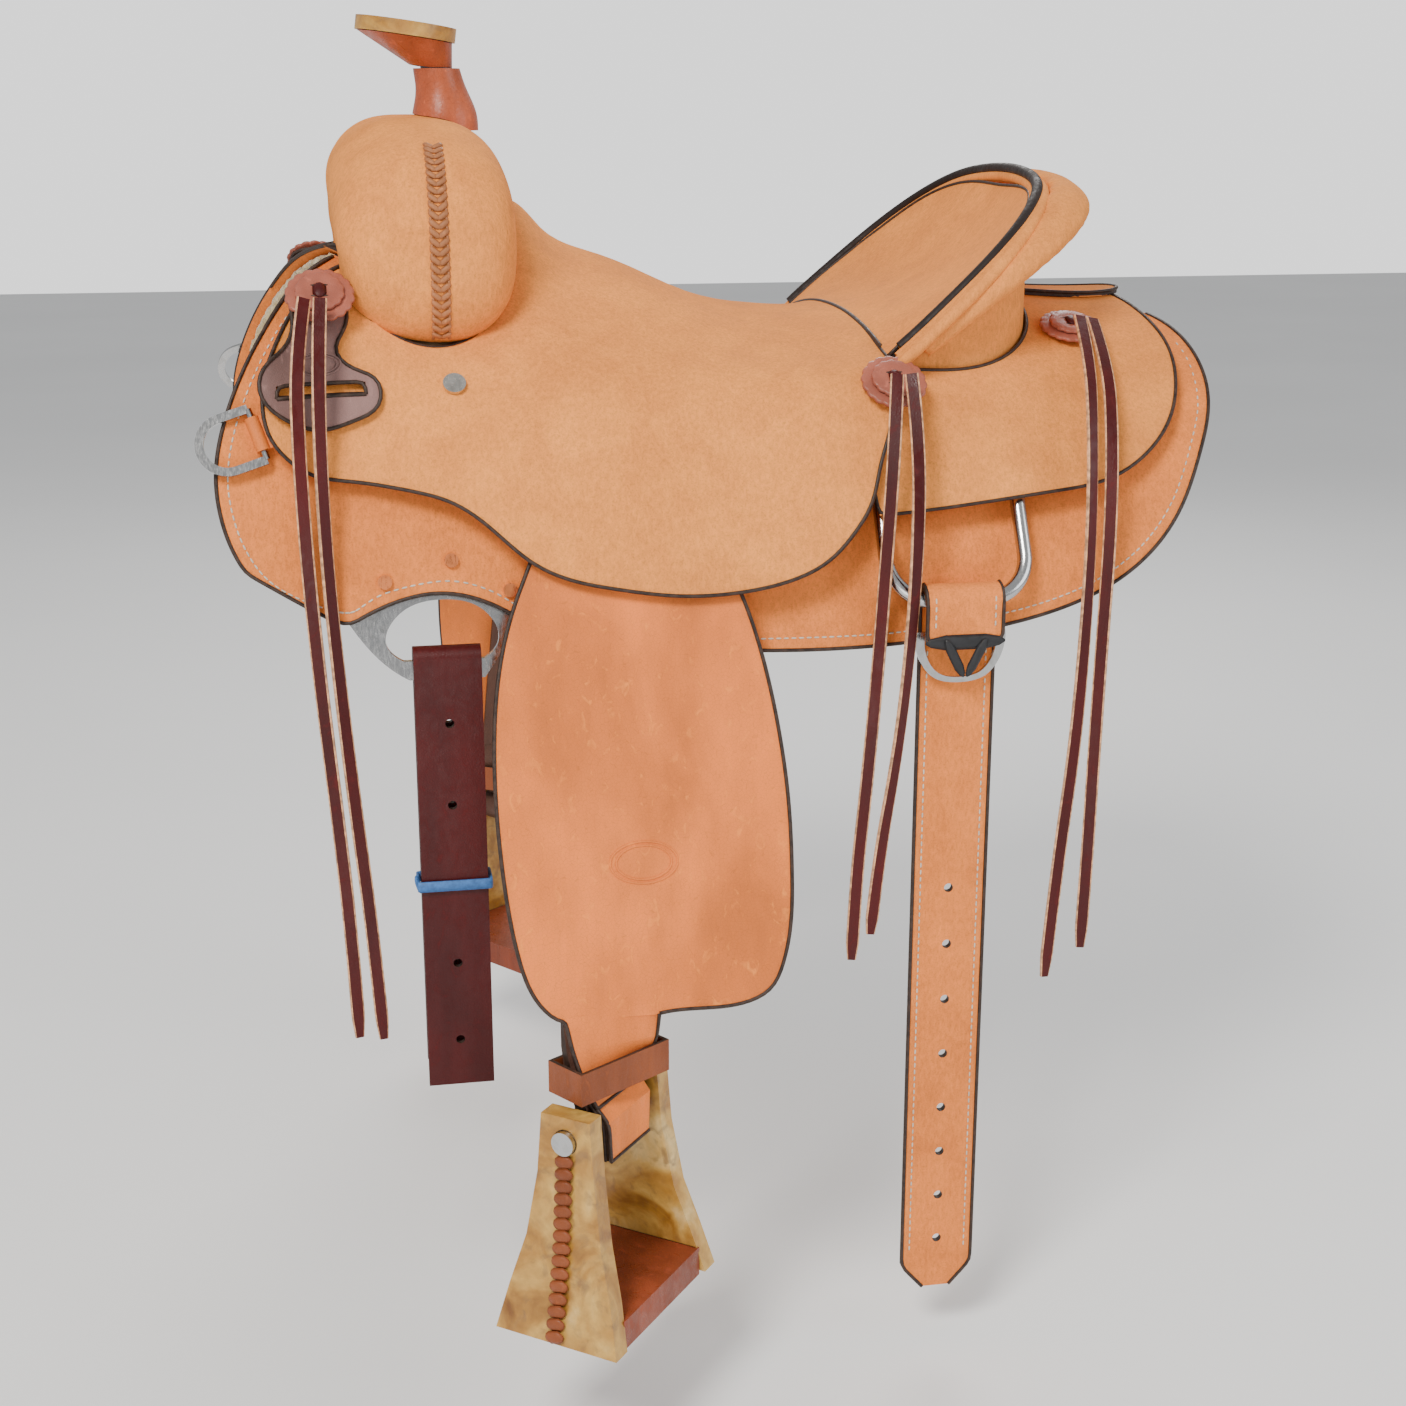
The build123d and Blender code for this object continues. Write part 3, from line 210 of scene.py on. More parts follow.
def metal_finish(name, colour, low=0.2, high=0.42, tarnish=(0.25, 0.22, 0.18)):
    """Worn metal: fine scratches both ways, dull patches and grime."""
    s = Shade(name, metallic=1.0)
    patches = s.noise(120, 6, distortion=0.7)
    scratches = s.noise(900, 3, (1, 1, 0.06))
    across = s.noise(1200, 3, (0.05, 1, 1))
    base = s.mix(s.grey(patches, 0.0, 0.5, 0.52, 0.75), colour, tarnish)
    s.relief(scratches, 0.00003, 0.3)
    s.relief(across, 0.00003, 0.2)
    return s.done(base, s.grey(scratches, low, high, 0.35, 0.7))


def wood_finish(name, colour):
    s = Shade(name, roughness=0.6)
    rings = s.noise(60, 5, (1, 1, 0.12), 0.6)
    pores = s.noise(700, 3, (1, 1, 0.08))
    base = s.ramp(rings, (0.3, times(colour, 0.6)), (0.7, times(colour, 1.15)))
    base = s.mix(0.4, base, s.grey(pores, 0.5, 1.0), "MULTIPLY")
    s.relief(pores, 0.0003, 0.5)
    return s.done(base)


def fleece_finish(name):
    s = Shade(name, roughness=0.95, sheen=0.5)
    curls = s.noise(240, 6, distortion=1.4)
    tufts = s.noise(70, 5, distortion=1.0)
    base = s.ramp(tufts, (0.3, (0.42, 0.29, 0.12)), (0.7, (0.74, 0.60, 0.34)))
    base = s.mix(0.5, base, s.grey(curls, 0.4, 1.0), "MULTIPLY")
    s.relief(curls, 0.002, 0.9)
    return s.done(base)


def thread_finish(name, colour):
    s = Shade(name, roughness=0.7)
    twist = s.noise(1500, 3, (1, 1, 1), 0.5)
    wear = s.noise(60, 4)
    base = s.ramp(wear, (0.3, times(colour, 0.7)), (0.7, colour))
    base = s.mix(0.4, base, s.grey(twist, 0.55, 1.0), "MULTIPLY")
    s.relief(twist, 0.0003, 0.7)
    return s.done(base)


def rubber_finish(name, colour):
    s = Shade(name, roughness=0.6)
    bloom = s.noise(300, 5)
    base = s.ramp(bloom, (0.3, times(colour, 0.7)), (0.75, times(colour, 1.3)))
    s.relief(bloom, 0.0003, 0.5)
    return s.done(base, s.grey(bloom, 0.45, 0.7))


SEAT = rough_out("rough_out_seat", (0.96, 0.33, 0.075))
SKIRT = rough_out("rough_out_skirt", (0.93, 0.265, 0.06))
FENDER = smooth_leather("fender_leather", (0.85, 0.215, 0.04), shine=0.56, grain=420, streak=0.5)
ROSETTE = smooth_leather("rosette_leather", (0.42, 0.12, 0.075), shine=0.36, coat=0.2, grain=700)
DARK = smooth_leather("dark_leather", (0.10, 0.045, 0.03), shine=0.45)
BURGUNDY = smooth_leather("latigo_leather", (0.075, 0.005, 0.005), shine=0.38)
BROWN = smooth_leather("brown_leather", (0.26, 0.068, 0.022), shine=0.42)
MAUVE = smooth_leather("mauve_leather", (0.24, 0.135, 0.12), shine=0.42, grain=700, streak=0.6)
WELT_LEATHER = smooth_leather("welt_leather", (0.50, 0.19, 0.075), shine=0.5)
WRAP = smooth_leather("horn_leather", (0.50, 0.115, 0.045), shine=0.3, coat=0.1, grain=300)
TREAD = smooth_leather("tread_leather", (0.27, 0.055, 0.022), shine=0.34)
BINDING = smooth_leather("black_binding", (0.022, 0.014, 0.012), shine=0.52)
EDGE_AND_SLOT_SHADE = edge_finish("dark_edge_and_slot_shade", (0.035, 0.02, 0.014))
PALE_EDGE = edge_finish("pale_edge", (0.52, 0.27, 0.14))
HIDE = hide_finish("rawhide")
STEEL = metal_finish("worn_stainless", (0.50, 0.50, 0.50), 0.14, 0.28, (0.30, 0.29, 0.27))
NICKEL = metal_finish("nickel", (0.70, 0.66, 0.60), 0.12, 0.3)
COPPER = metal_finish("copper", (0.80, 0.25, 0.09), 0.25, 0.42, (0.45, 0.12, 0.04))
IRON = metal_finish("horn_iron", (0.22, 0.22, 0.23), 0.4, 0.6)
WOOD = wood_finish("bare_wood", (0.45, 0.29, 0.15))
FLEECE = fleece_finish("sheepskin")
THREAD = thread_finish("waxed_thread", (0.74, 0.66, 0.52))
BLUE = rubber_finish("blue_rubber", (0.05, 0.16, 0.42))
BLACK = rubber_finish("black_keeper", (0.02, 0.02, 0.022))


# --------------------------------------------------------------- mesh helpers
def tree_of(node):
    o = nodes[node]
    vertices = [tuple(v.co) for v in o.data.vertices]
    faces = [tuple(p.vertices) for p in o.data.polygons]
    return BVHTree.FromPolygons(vertices, faces)


TREES = {}


def surface_hit(node, start, direction):
    """Where a straight line first meets a CAD node: the point and its outward normal."""
    if node not in TREES:
        TREES[node] = tree_of(node)
    point, normal, _, _ = TREES[node].ray_cast(Vector(start), Vector(direction).normalized())
    if point is None:
        return None
    if normal.dot(Vector(direction)) > 0:
        normal = -normal
    return point, normal


def make_mesh(name, vertices, faces, material, body, smooth=True):
    mesh = bpy.data.meshes.new(name)
    mesh.from_pydata([tuple(v) for v in vertices], [], faces)
    mesh.update()
    for polygon in mesh.polygons:
        polygon.use_smooth = smooth
    o = bpy.data.objects.new(name, mesh)
    bpy.context.scene.collection.objects.link(o)
    mesh.materials.append(material)
    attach(o, body)
    return o


def paint(names, material, edge=None, thickness=5.0):
    """Gives CAD nodes their material, and a thin shell's cut edges their own."""
    for name in names:
        o = nodes[name]
        o.data.materials.clear()
        o.data.materials.append(material)
        if edge is None:
            continue
        o.data.materials.append(edge)
        tree = tree_of(name)
        for polygon in o.data.polygons:
            inside = polygon.center - polygon.normal * 0.0001
            _, _, _, distance = tree.ray_cast(inside, -polygon.normal)
            far = distance is None or distance > thickness * 1.8 * MM
            polygon.material_index = 1 if far else 0


def pair(name):
    return [name + "_left", name + "_right"]


def smooth_line(points, step):
    """A curve through the points, as evenly spaced places about a step apart."""
    fine = []
    count = len(points)
    for i in range(count - 1):
        p0, p1 = points[max(i - 1, 0)], points[i]
        p2, p3 = points[i + 1], points[min(i + 2, count - 1)]
        for k in range(12):
            t = k / 12
            fine.append(0.5 * (2 * p1 + (p2 - p0) * t + (2 * p0 - 5 * p1 + 4 * p2 - p3) * t * t
                               + (3 * p1 - p0 - 3 * p2 + p3) * t ** 3))
    fine.append(points[-1])
    return even_steps(fine, step)


def even_steps(line, step):
    total = sum((b - a).length for a, b in zip(line, line[1:]))
    count = max(2, round(total / step))
    places, walked, i = [line[0].copy()], 0.0, 0
    for n in range(1, count):
        target = total * n / count
        while walked + (line[i + 1] - line[i]).length < target:
            walked += (line[i + 1] - line[i]).length
            i += 1
        share = (target - walked) / (line[i + 1] - line[i]).length
        places.append(line[i].lerp(line[i + 1], share))
    places.append(line[-1].copy())
    return places


def add_pill(vertices, faces, centre, along, out, half, width, height):
    """A rounded stitch or bar lying on a surface."""
    side = along.cross(out).normalized()
    start = len(vertices)
    rings = [(-1.0, 0.0), (-0.86, 0.6), (-0.5, 1.0), (0.5, 1.0), (0.86, 0.6), (1.0, 0.0)]
    segments = 6
    for place, size in rings:
        for k in range(segments):
            a = 2 * math.pi * k / segments
            grow = max(size, 0.15)
            ring = side * (math.cos(a) * width) + out * (math.sin(a) * height)
            vertices.append(centre + along * (place * half) + ring * grow)
    for r in range(len(rings) - 1):
        for k in range(segments):
            a = start + r * segments + k
            b = start + r * segments + (k + 1) % segments
            faces.append((a, b, b + segments, a + segments))
    faces.append(tuple(start + k for k in reversed(range(segments))))
    faces.append(tuple(start + (len(rings) - 1) * segments + k for k in range(segments)))


def stitches(name, body, runs, material=None, pitch=5.2, length=3.7, width=0.62):
    """Rows of sewn stitches along runs of (point, normal) places on a surface."""
    vertices, faces = [], []
    for run in runs:
        for (p, n), (q, _) in zip(run, run[1:]):
            if (q - p).length > 2.2 * pitch * MM:
                continue
            along = (q - p).normalized()
            add_pill(vertices, faces, (p + q) / 2 + n * 0.0002, along, n,
                     length / 2 * MM, width * MM, width * 0.8 * MM)
    return make_mesh(name, vertices, faces, material or THREAD, body)


def down_onto(node, places, direction):
    """The places dropped along a direction onto a node, where they meet it."""
    run = []
    for p in places:
        hit = surface_hit(node, p - Vector(direction) * 0.5, direction)
        if hit:
            run.append(hit)
    return run


def inset_line(points, distance):
    """A side outline (x, z) moved inwards; it runs so that its inside is on the left."""
    moved = []
    for i, p in enumerate(points):
        a, b = points[max(i - 1, 0)], points[min(i + 1, len(points) - 1)]
        tangent = (b - a).normalized()
        moved.append(p + Vector((-tangent.z, 0, tangent.x)) * distance)
    return moved


def side_line(pairs_xz, inset, step):
    line = smooth_line(metres([(x, 0, z) for x, z in pairs_xz]), step * MM)
    return inset_line(line, inset * MM)


def add_tube(vertices, faces, places, radius, normals, segments=6, closed=False):
    """A round bead along places, each with the normal of the surface it lies on."""
    start, count = len(vertices), len(places)
    for i, p in enumerate(places):
        a = places[i - 1] if (closed or i) else places[i]
        b = places[(i + 1) % count] if (closed or i < count - 1) else places[i]
        along = (b - a).normalized()
        side = along.cross(normals[i]).normalized()
        out = side.cross(along).normalized()
        for k in range(segments):
            t = 2 * math.pi * k / segments
            vertices.append(p + (side * math.cos(t) + out * math.sin(t)) * radius)
    for i in range(count if closed else count - 1):
        here, after = start + i * segments, start + ((i + 1) % count) * segments
        for k in range(segments):
            j = (k + 1) % segments
            faces.append((here + k, here + j, after + j, after + k))
    if not closed:
        faces.append(tuple(start + k for k in reversed(range(segments))))
        faces.append(tuple(start + (count - 1) * segments + k for k in range(segments)))


# ------------------------------------------------------------ CAD node finishes
paint(pair("skirt"), SKIRT, EDGE_AND_SLOT_SHADE, 5)
paint(["seat"], SEAT, EDGE_AND_SLOT_SHADE, 4)
paint(pair("rear_jockey") + ["spine_plate"], SEAT, EDGE_AND_SLOT_SHADE, 4)
paint(["swell_cover", "cantle_back"], SEAT, EDGE_AND_SLOT_SHADE, 3.5)
paint(pair("keeper_plate"), MAUVE, EDGE_AND_SLOT_SHADE, 4)
paint(pair("fender"), FENDER, EDGE_AND_SLOT_SHADE, 5)
paint(pair("stirrup_leather"), DARK, EDGE_AND_SLOT_SHADE, 9)
paint(pair("hobble_strap"), BROWN, EDGE_AND_SLOT_SHADE, 3)
paint(["rear_billet_left"], SKIRT, EDGE_AND_SLOT_SHADE, 5)
paint(["tie_strap_left"], BURGUNDY, EDGE_AND_SLOT_SHADE, 5)
paint(pair("rigging_plate") + pair("rear_dee") + pair("breast_dee") + pair("stirrup_bolt")
      + ["billet_ring_left"], STEEL)
paint(["seat_screws"], NICKEL)
paint(["rigging_rivets"], COPPER)
paint(["rigging_tabs"], FENDER)
paint(pair("stirrup_rawhide"), HIDE)
paint(pair("stirrup_frame") + ["tree_bars", "tree_fork", "tree_cantle"], WOOD)
paint(pair("stirrup_tread"), TREAD)
paint(["horn_core"], IRON)
paint(["horn_neck_wrap", "horn_cap_cover"], WRAP)
paint(["horn_cap_rim"], HIDE)
paint(["cantle_binding"], BINDING)
paint(["ground_seat"], DARK)

for name in pair("stirrup_rawhide") + pair("stirrup_tread") + ["horn_cap_rim"]:
    bevel = nodes[name].modifiers.new("rounded", "BEVEL")
    bevel.width = 0.0014
    bevel.segments = 3
    bevel.limit_method = "ANGLE"
    bevel.angle_limit = math.radians(45)


# ------------------------------------------------------- burnished edge lines
EDGE_RADIUS = 1.35 * MM
SHORTEST_EDGE = 0.03  # shorter creases, such as screw holes' rims, stay bare
CREASE = math.cos(math.radians(48))
FENDER_NECK = (0.086, 0.130, -0.412, -0.394)  # x and z of the fold where the fender's neck begins


def outward_at(place):
    """Roughly away from the horse's body, for telling a panel's outer face from its inner one."""
    return Vector((0, place.y, place.z + 0.3)).normalized()


def crease_links(node, skip):
    """Places of a mesh, and which of them are joined by a crease round an outer face."""
    o = nodes[node]
    first_at, corner = {}, []
    for v in o.data.vertices:
        corner.append(first_at.setdefault(tuple(round(c * 20000) for c in v.co), v.index))
    shared = {}
    for polygon in o.data.polygons:
        ring = [corner[i] for i in polygon.vertices]
        for a, b in zip(ring, ring[1:] + ring[:1]):
            if a != b:
                shared.setdefault((min(a, b), max(a, b)), []).append(polygon.normal.copy())
    links = {}
    for (a, b), normals in shared.items():
        if len(normals) != 2 or normals[0].dot(normals[1]) > CREASE:
            continue
        middle = (o.data.vertices[a].co + o.data.vertices[b].co) / 2
        if skip and skip[0] < middle.x < skip[1] and skip[2] < middle.z < skip[3]:
            continue
        out = outward_at(middle)
        if max(n.dot(out) for n in normals) > 0.5:
            links.setdefault(a, []).append(b)
            links.setdefault(b, []).append(a)
    return o, links


def chains_of(links):
    """Runs of linked places, open runs before closed loops."""
    left = {a: set(b) for a, b in links.items()}
    chains = []
    for start in sorted(left, key=lambda a: (len(links[a]) == 2, a)):
        while left[start]:
            chain, here = [start], start
            while left[here]:
                after = min(left[here])
                left[here].discard(after)
                left[after].discard(here)
                chain.append(after)
                here = after
                if len(links[here]) != 2:
                    break
            chains.append(chain)
    return chains


def edge_lines(name, body, panels, skip=None):
    """Rounded dark beads along the edges of panels' outer faces, but for those in skip."""
    vertices, faces = [], []
    for node in panels:
        o, links = crease_links(node, skip)
        for chain in chains_of(links):
            line = [o.data.vertices[i].co.copy() for i in chain]
            if sum((b - a).length for a, b in zip(line, line[1:])) < SHORTEST_EDGE:
                continue
            line = even_steps(line, 0.005)
            eased = [(a + b * 2 + c) / 4 for a, b, c in zip(line, line[1:], line[2:])]
            line = [line[0]] + eased + [line[-1]]
            add_tube(vertices, faces, line, EDGE_RADIUS, [outward_at(p) for p in line])
    return make_mesh(name, vertices, faces, EDGE_AND_SLOT_SHADE, body)


edge_lines("edge_lines_saddle", "saddle", pair("skirt") + pair("rear_jockey") + pair("keeper_plate")
           + ["seat", "spine_plate"])
for side in ("left", "right"):
    edge_lines("edge_lines_fender_" + side, "fender_swing_" + side, ["fender_" + side], FENDER_NECK)
edge_lines("edge_lines_billet", "rear_billet_left", ["rear_billet_left"])


def oval_pair(name, node, body, sign, centre, half_sizes, material):
    """Two plain raised ovals, one inside the other, on a panel seen from the side."""
    vertices, faces = [], []
    for shrink in (1.0, 0.82):
        places, normals = [], []
        for k in range(48):
            a = 2 * math.pi * k / 48
            x = centre[0] + half_sizes[0] * shrink * math.cos(a)
            z = centre[1] + half_sizes[1] * shrink * math.sin(a)
            hit = surface_hit(node, Vector((x, sign * 500, z)) * MM, (0, -sign, 0))
            if hit:
                places.append(hit[0])
                normals.append(hit[1])
        add_tube(vertices, faces, places, 0.8 * MM, normals, closed=True)
    return make_mesh(name, vertices, faces, material, body)


for side, sign in (("left", 1), ("right", -1)):
    oval_pair("fender_ovals_" + side, "fender_" + side, "fender_swing_" + side, sign, (93, -309),
              (22, 13), FENDER)
    oval_pair("keeper_ovals_" + side, "keeper_plate_" + side, "saddle", sign, (283, 1),
              (14, 6.5), MAUVE)

# ------------------------------------------------------------------ stitching
SKIRT_EDGE = [
    (-324, 14), (-336, 6), (-342, -14), (-336, -45), (-321, -74), (-300, -110), (-274, -138),
    (-242, -158), (-206, -171), (-163, -180), (-117, -186), (-71, -189), (8, -188), (60, -184),
    (120, -175), (160, -163), (185, -149), (210, -143), (246, -149), (271, -161), (302, -152),
    (326, -137), (341, -115), (349, -88), (350, -62), (343, -32), (329, 0), (312, 27), (292, 49),
]
for side, sign in (("left", 1), ("right", -1)):
    inward = Vector((0, -sign, 0))
    line = side_line(SKIRT_EDGE, 7.5, 5.2)
    stitches("skirt_stitching_" + side, "saddle", [down_onto("skirt_" + side, line, inward)])

billet_low, billet_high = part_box("rear_billet_left")
runs = []
for x in (billet_low.x + 0.0055, billet_high.x - 0.0055):
    for top, bottom in ((-0.152, -0.174), (-0.192, billet_low.z + 0.03)):
        column = [Vector((x, 0, z)) for z in (top, bottom)]
        runs.append(down_onto("rear_billet_left", even_steps(column, 0.0052), Vector((0, -1, 0))))
stitches("billet_stitching", "rear_billet_left", runs)

# --------------------------------------------------------------- free strings
STRING_WIDTH, STRING_THICKNESS = 9.0, 2.6
# cross-section in half widths and half thicknesses; sides 1 and 5 are its flat faces
STRING_PROFILE = [(-1, -0.6), (-0.78, -1), (0.78, -1), (1, -0.6),
                  (1, 0.6), (0.78, 1), (-0.78, 1), (-1, 0.6)]
FLAT_SIDES = (1, 5)
STRING_ROUTES = {
    "front_string_a": [(280, 184, 42), (283, 211, 10), (285, 225, -48), (284, 230, -125),
                       (279, 232, -210), (273, 233, -290), (266, 233, -370), (262, 233, -446)],
    "front_string_b": [(290, 183, 42), (297, 210, 7), (298, 224, -48), (296, 229, -125),
                       (291, 231, -210), (285, 232, -290), (280, 232, -370), (278, 232, -444)],
    "mid_string_a": [(-89, 217, -10), (-83, 238, -50), (-78, 243, -125), (-74, 241, -205),
                     (-68, 241, -285), (-62, 241, -350), (-60, 241, -410)],
    "mid_string_b": [(-99, 216, -10), (-99, 240, -52), (-96, 253, -125), (-93, 247, -205),
                     (-88, 241, -270), (-78, 241, -335), (-73, 241, -392)],
    "rear_string_a": [(-246, 128, 16), (-236, 178, -8), (-226, 216, -48), (-222, 234, -110),
                      (-220, 237, -190), (-216, 238, -270), (-208, 238, -350), (-202, 238, -435)],
    "rear_string_b": [(-256, 126, 14), (-250, 176, -12), (-241, 214, -54), (-236, 233, -116),
                      (-233, 236, -190), (-231, 237, -270), (-230, 237, -345), (-228, 237, -415)],
}


def string_line(name, route):
    """The route's smooth line, read from a NURBS curve that has it as control points."""
    curve = bpy.data.curves.new(name + "_line", "CURVE")
    curve.dimensions = "3D"
    spline = curve.splines.new("NURBS")
    spline.points.add(len(route) - 1)
    for point, place in zip(spline.points, metres(route)):
        point.co = (*place, 1.0)
    spline.order_u = 3
    spline.use_endpoint_u = True
    spline.resolution_u = 16
    o = bpy.data.objects.new(name + "_line", curve)
    bpy.context.scene.collection.objects.link(o)
    line_mesh = bpy.data.meshes.new_from_object(o)
    line = [v.co.copy() for v in line_mesh.vertices]
    bpy.data.objects.remove(o)
    bpy.data.curves.remove(curve)
    bpy.data.meshes.remove(line_mesh)
    return line


def string_section(number, share):
    """Half width and turn of a string, this share of the way along it; its end is tapered."""
    turn = 0.35 * math.sin(5.0 * share + 1.7 * number)
    turn += 0.5 * share * math.sin(1.9 * number + 1)
    taper = 1.0 if share < 0.97 else 1.0 - 0.35 * (share - 0.97) / 0.03
    return STRING_WIDTH / 2 * MM * taper, turn


def add_string(name, route, number):
    """A flat string with bevelled pale edges, turning a little as it hangs."""
    line = string_line(name, route)
    places = even_steps(line, 0.006)
    last = len(places) - 1
    sides = len(STRING_PROFILE)
    vertices, faces = [], []
    for i, p in enumerate(places):
        along = (places[min(i + 1, last)] - places[max(i - 1, 0)]).normalized()
        half, turn = string_section(number, i / last)
        flat = Vector((math.cos(turn), math.sin(turn), 0))
        out = flat.cross(along).normalized()
        flat = along.cross(out).normalized()
        for u, v in STRING_PROFILE:
            vertices.append(p + flat * (u * half) + out * (v * STRING_THICKNESS / 2 * MM))
    for i in range(last):
        for k in range(sides):
            j = (k + 1) % sides
            faces.append((i * sides + k, i * sides + j, (i + 1) * sides + j, (i + 1) * sides + k))
    faces.append(tuple(reversed(range(sides))))
    faces.append(tuple(last * sides + k for k in range(sides)))
    strip = make_mesh(name + "_leather", vertices, faces, BURGUNDY, "saddle", smooth=False)
    strip.data.materials.append(PALE_EDGE)
    for polygon in strip.data.polygons:
        if polygon.index % sides not in FLAT_SIDES and polygon.index < last * sides:
            polygon.material_index = 1
    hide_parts(name)


for number, (name, route) in enumerate(STRING_ROUTES.items()):
    add_string(name, route, number)


# ------------------------------------------------------------------- rosettes
def level_on(out):
    """The direction across a surface that is nearest to +X."""
    level = Vector((1, 0, 0))
    return (level - out * level.dot(out)).normalized()


def add_rosette_disc(vertices, faces, centre, out, radius, low, high, petals):
    """A disc with a scalloped edge and a softly domed face."""
    across = level_on(out)
    up = out.cross(across)
    count = petals * 8
    start = len(vertices)
    profile = [(0.93, low), (1.0, low + 0.3 * (high - low)), (0.985, high - 0.4), (0.93, high),
               (0.6, high + 0.15), (0.3, high - 0.25), (0.02, high - 0.35)]
    for share, height in profile:
        for k in range(count):
            a = 2 * math.pi * k / count
            wave = 1.0 - 0.055 * (1 - abs(math.sin(petals * a / 2))) * share
            r = radius * share * wave * MM
            spoke = across * (r * math.cos(a)) + up * (r * math.sin(a))
            vertices.append(centre + spoke + out * (height * MM))
    for r in range(len(profile) - 1):
        for k in range(count):
            a, b = start + r * count + k, start + r * count + (k + 1) % count
            faces.append((a, b, b + count, a + count))
    faces.append(tuple(start + k for k in reversed(range(count))))
    faces.append(tuple(start + (len(profile) - 1) * count + k for k in range(count)))


def island_frames(node):
    """Centre, outward direction and reach of each separate disc in a node."""
    o = nodes[node]
    parent = list(range(len(o.data.vertices)))

    def root(i):
        while parent[i] != i:
            parent[i] = parent[parent[i]]
            i = parent[i]
        return i

    where = {}
    for v in o.data.vertices:
        key = tuple(round(c, 6) for c in v.co)
        if key in where:
            parent[root(v.index)] = root(where[key])
        where[key] = v.index
    for p in o.data.polygons:
        for v in p.vertices[1:]:
            parent[root(v)] = root(p.vertices[0])
    groups = {}
    for p in o.data.polygons:
        groups.setdefault(root(p.vertices[0]), []).append(p)
    found = []
    for polygons in groups.values():
        area = sum(p.area for p in polygons)
        centre = sum((p.center * p.area for p in polygons), Vector()) / area
        flat = max(polygons, key=lambda p: p.area)
        normal = flat.normal.copy()
        if normal.y * centre.y < 0:
            normal = -normal
        reach = max((p.center - centre).length for p in polygons)
        found.append((centre, normal, reach))
    return found


BIG_REACH = 0.017            # discs of more than this radius are the lower layers
SLOT_SPREAD = 4.5            # from a rosette's centre to each of its slots

vertices, faces, slot_shade_vertices, slot_shade_faces = [], [], [], []
bight_vertices, bight_faces = [], []
for centre, out, reach in island_frames("rosettes"):
    if reach > BIG_REACH:
        add_rosette_disc(vertices, faces, centre, out, 22.5, -1.5, 1.5, 18)
        continue
    add_rosette_disc(vertices, faces, centre, out, 16.0, -1.5, 1.5, 14)
    level = level_on(out)
    # the slots are dark pills of painted shade where the slots open, drawn in the dark edge colour
    for shift in (-SLOT_SPREAD, SLOT_SPREAD):
        place = centre + out * 0.0012 + out.cross(level) * (shift * MM)
        add_pill(slot_shade_vertices, slot_shade_faces, place, level, out, 0.0062, 0.0011, 0.0006)
    add_pill(bight_vertices, bight_faces, centre + out * 0.0018, out.cross(level), out,
             0.0062, 0.0044, 0.0016)
make_mesh("rosette_discs", vertices, faces, ROSETTE, "saddle")
make_mesh("rosette_slot_shade", slot_shade_vertices, slot_shade_faces, EDGE_AND_SLOT_SHADE, "saddle")
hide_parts("rosettes")
make_mesh("rosette_string_bights", bight_vertices, bight_faces, BURGUNDY, "saddle")


# ---------------------------------------------- braided welt down the swell's side
WELT_X, WELT_Z = 202.5, 70.0       # the welt lies square to X; its rays leave from this height
WELT_TOP, WELT_FOOT = 44, -34      # degrees above and below level, seen from there
WELT_PITCH = 5.6

vertices, faces = [], []
for sign in (1, -1):
    line = []
    for k in range(61):
        a = math.radians(WELT_TOP + (WELT_FOOT - WELT_TOP) * k / 60)
        ray = Vector((0, sign * math.cos(a), math.sin(a)))
        middle = Vector((WELT_X, sign * 60, WELT_Z)) * MM
        hit = surface_hit("swell_cover", middle + ray * 0.3, -ray)
        if hit:
            line.append(hit)
    places = even_steps([p for p, _ in line], WELT_PITCH * MM)
    for p, q in zip(places, places[1:]):
        out = min(line, key=lambda hit: (hit[0] - p).length)[1]
        along = (q - p).normalized()
        across = along.cross(out).normalized()
        for way in (-1, 1):
            arm = (across * way * 0.8 - along * 0.62).normalized()
            add_pill(vertices, faces, p + across * (way * 2.9 * MM) + out * 0.0006, arm, out,
                     0.0043, 0.0021, 0.0015)
            add_pill(vertices, faces, p + along * 0.0028 + across * (way * 5.2 * MM) + out * 0.0003,
                     along, out, 0.0022, 0.0011, 0.0008)
make_mesh("swell_welts", vertices, faces, WELT_LEATHER, "saddle")


# ----------------------------------------------------------- stirrups' lacing
STIRRUP_TURN = math.radians(52)
WRAP_PITCH = 8.5


def strip_islands(node):
    """Each laced strip's centre line, from its top edge to its foot, and its outward side."""
    o = nodes[node]
    vertices = [v.co.copy() for v in o.data.vertices]
    middle = sum(vertices, Vector()) / len(vertices)
    sign = 1 if middle.y > 0 else -1
    across = Vector((math.cos(STIRRUP_TURN), sign * math.sin(STIRRUP_TURN), 0))
    strips = []
    for way in (-1, 1):
        own = [v for v in vertices if (v - middle).dot(across) * way > 0]
        heights = sorted({round(v.z, 4) for v in own}, reverse=True)
        line = []
        for z in heights:
            level = [v for v in own if abs(v.z - z) < 0.0002]
            if len(level) >= 4:
                line.append(sum(level, Vector()) / len(level))
        strips.append((line, across * way))
    return strips


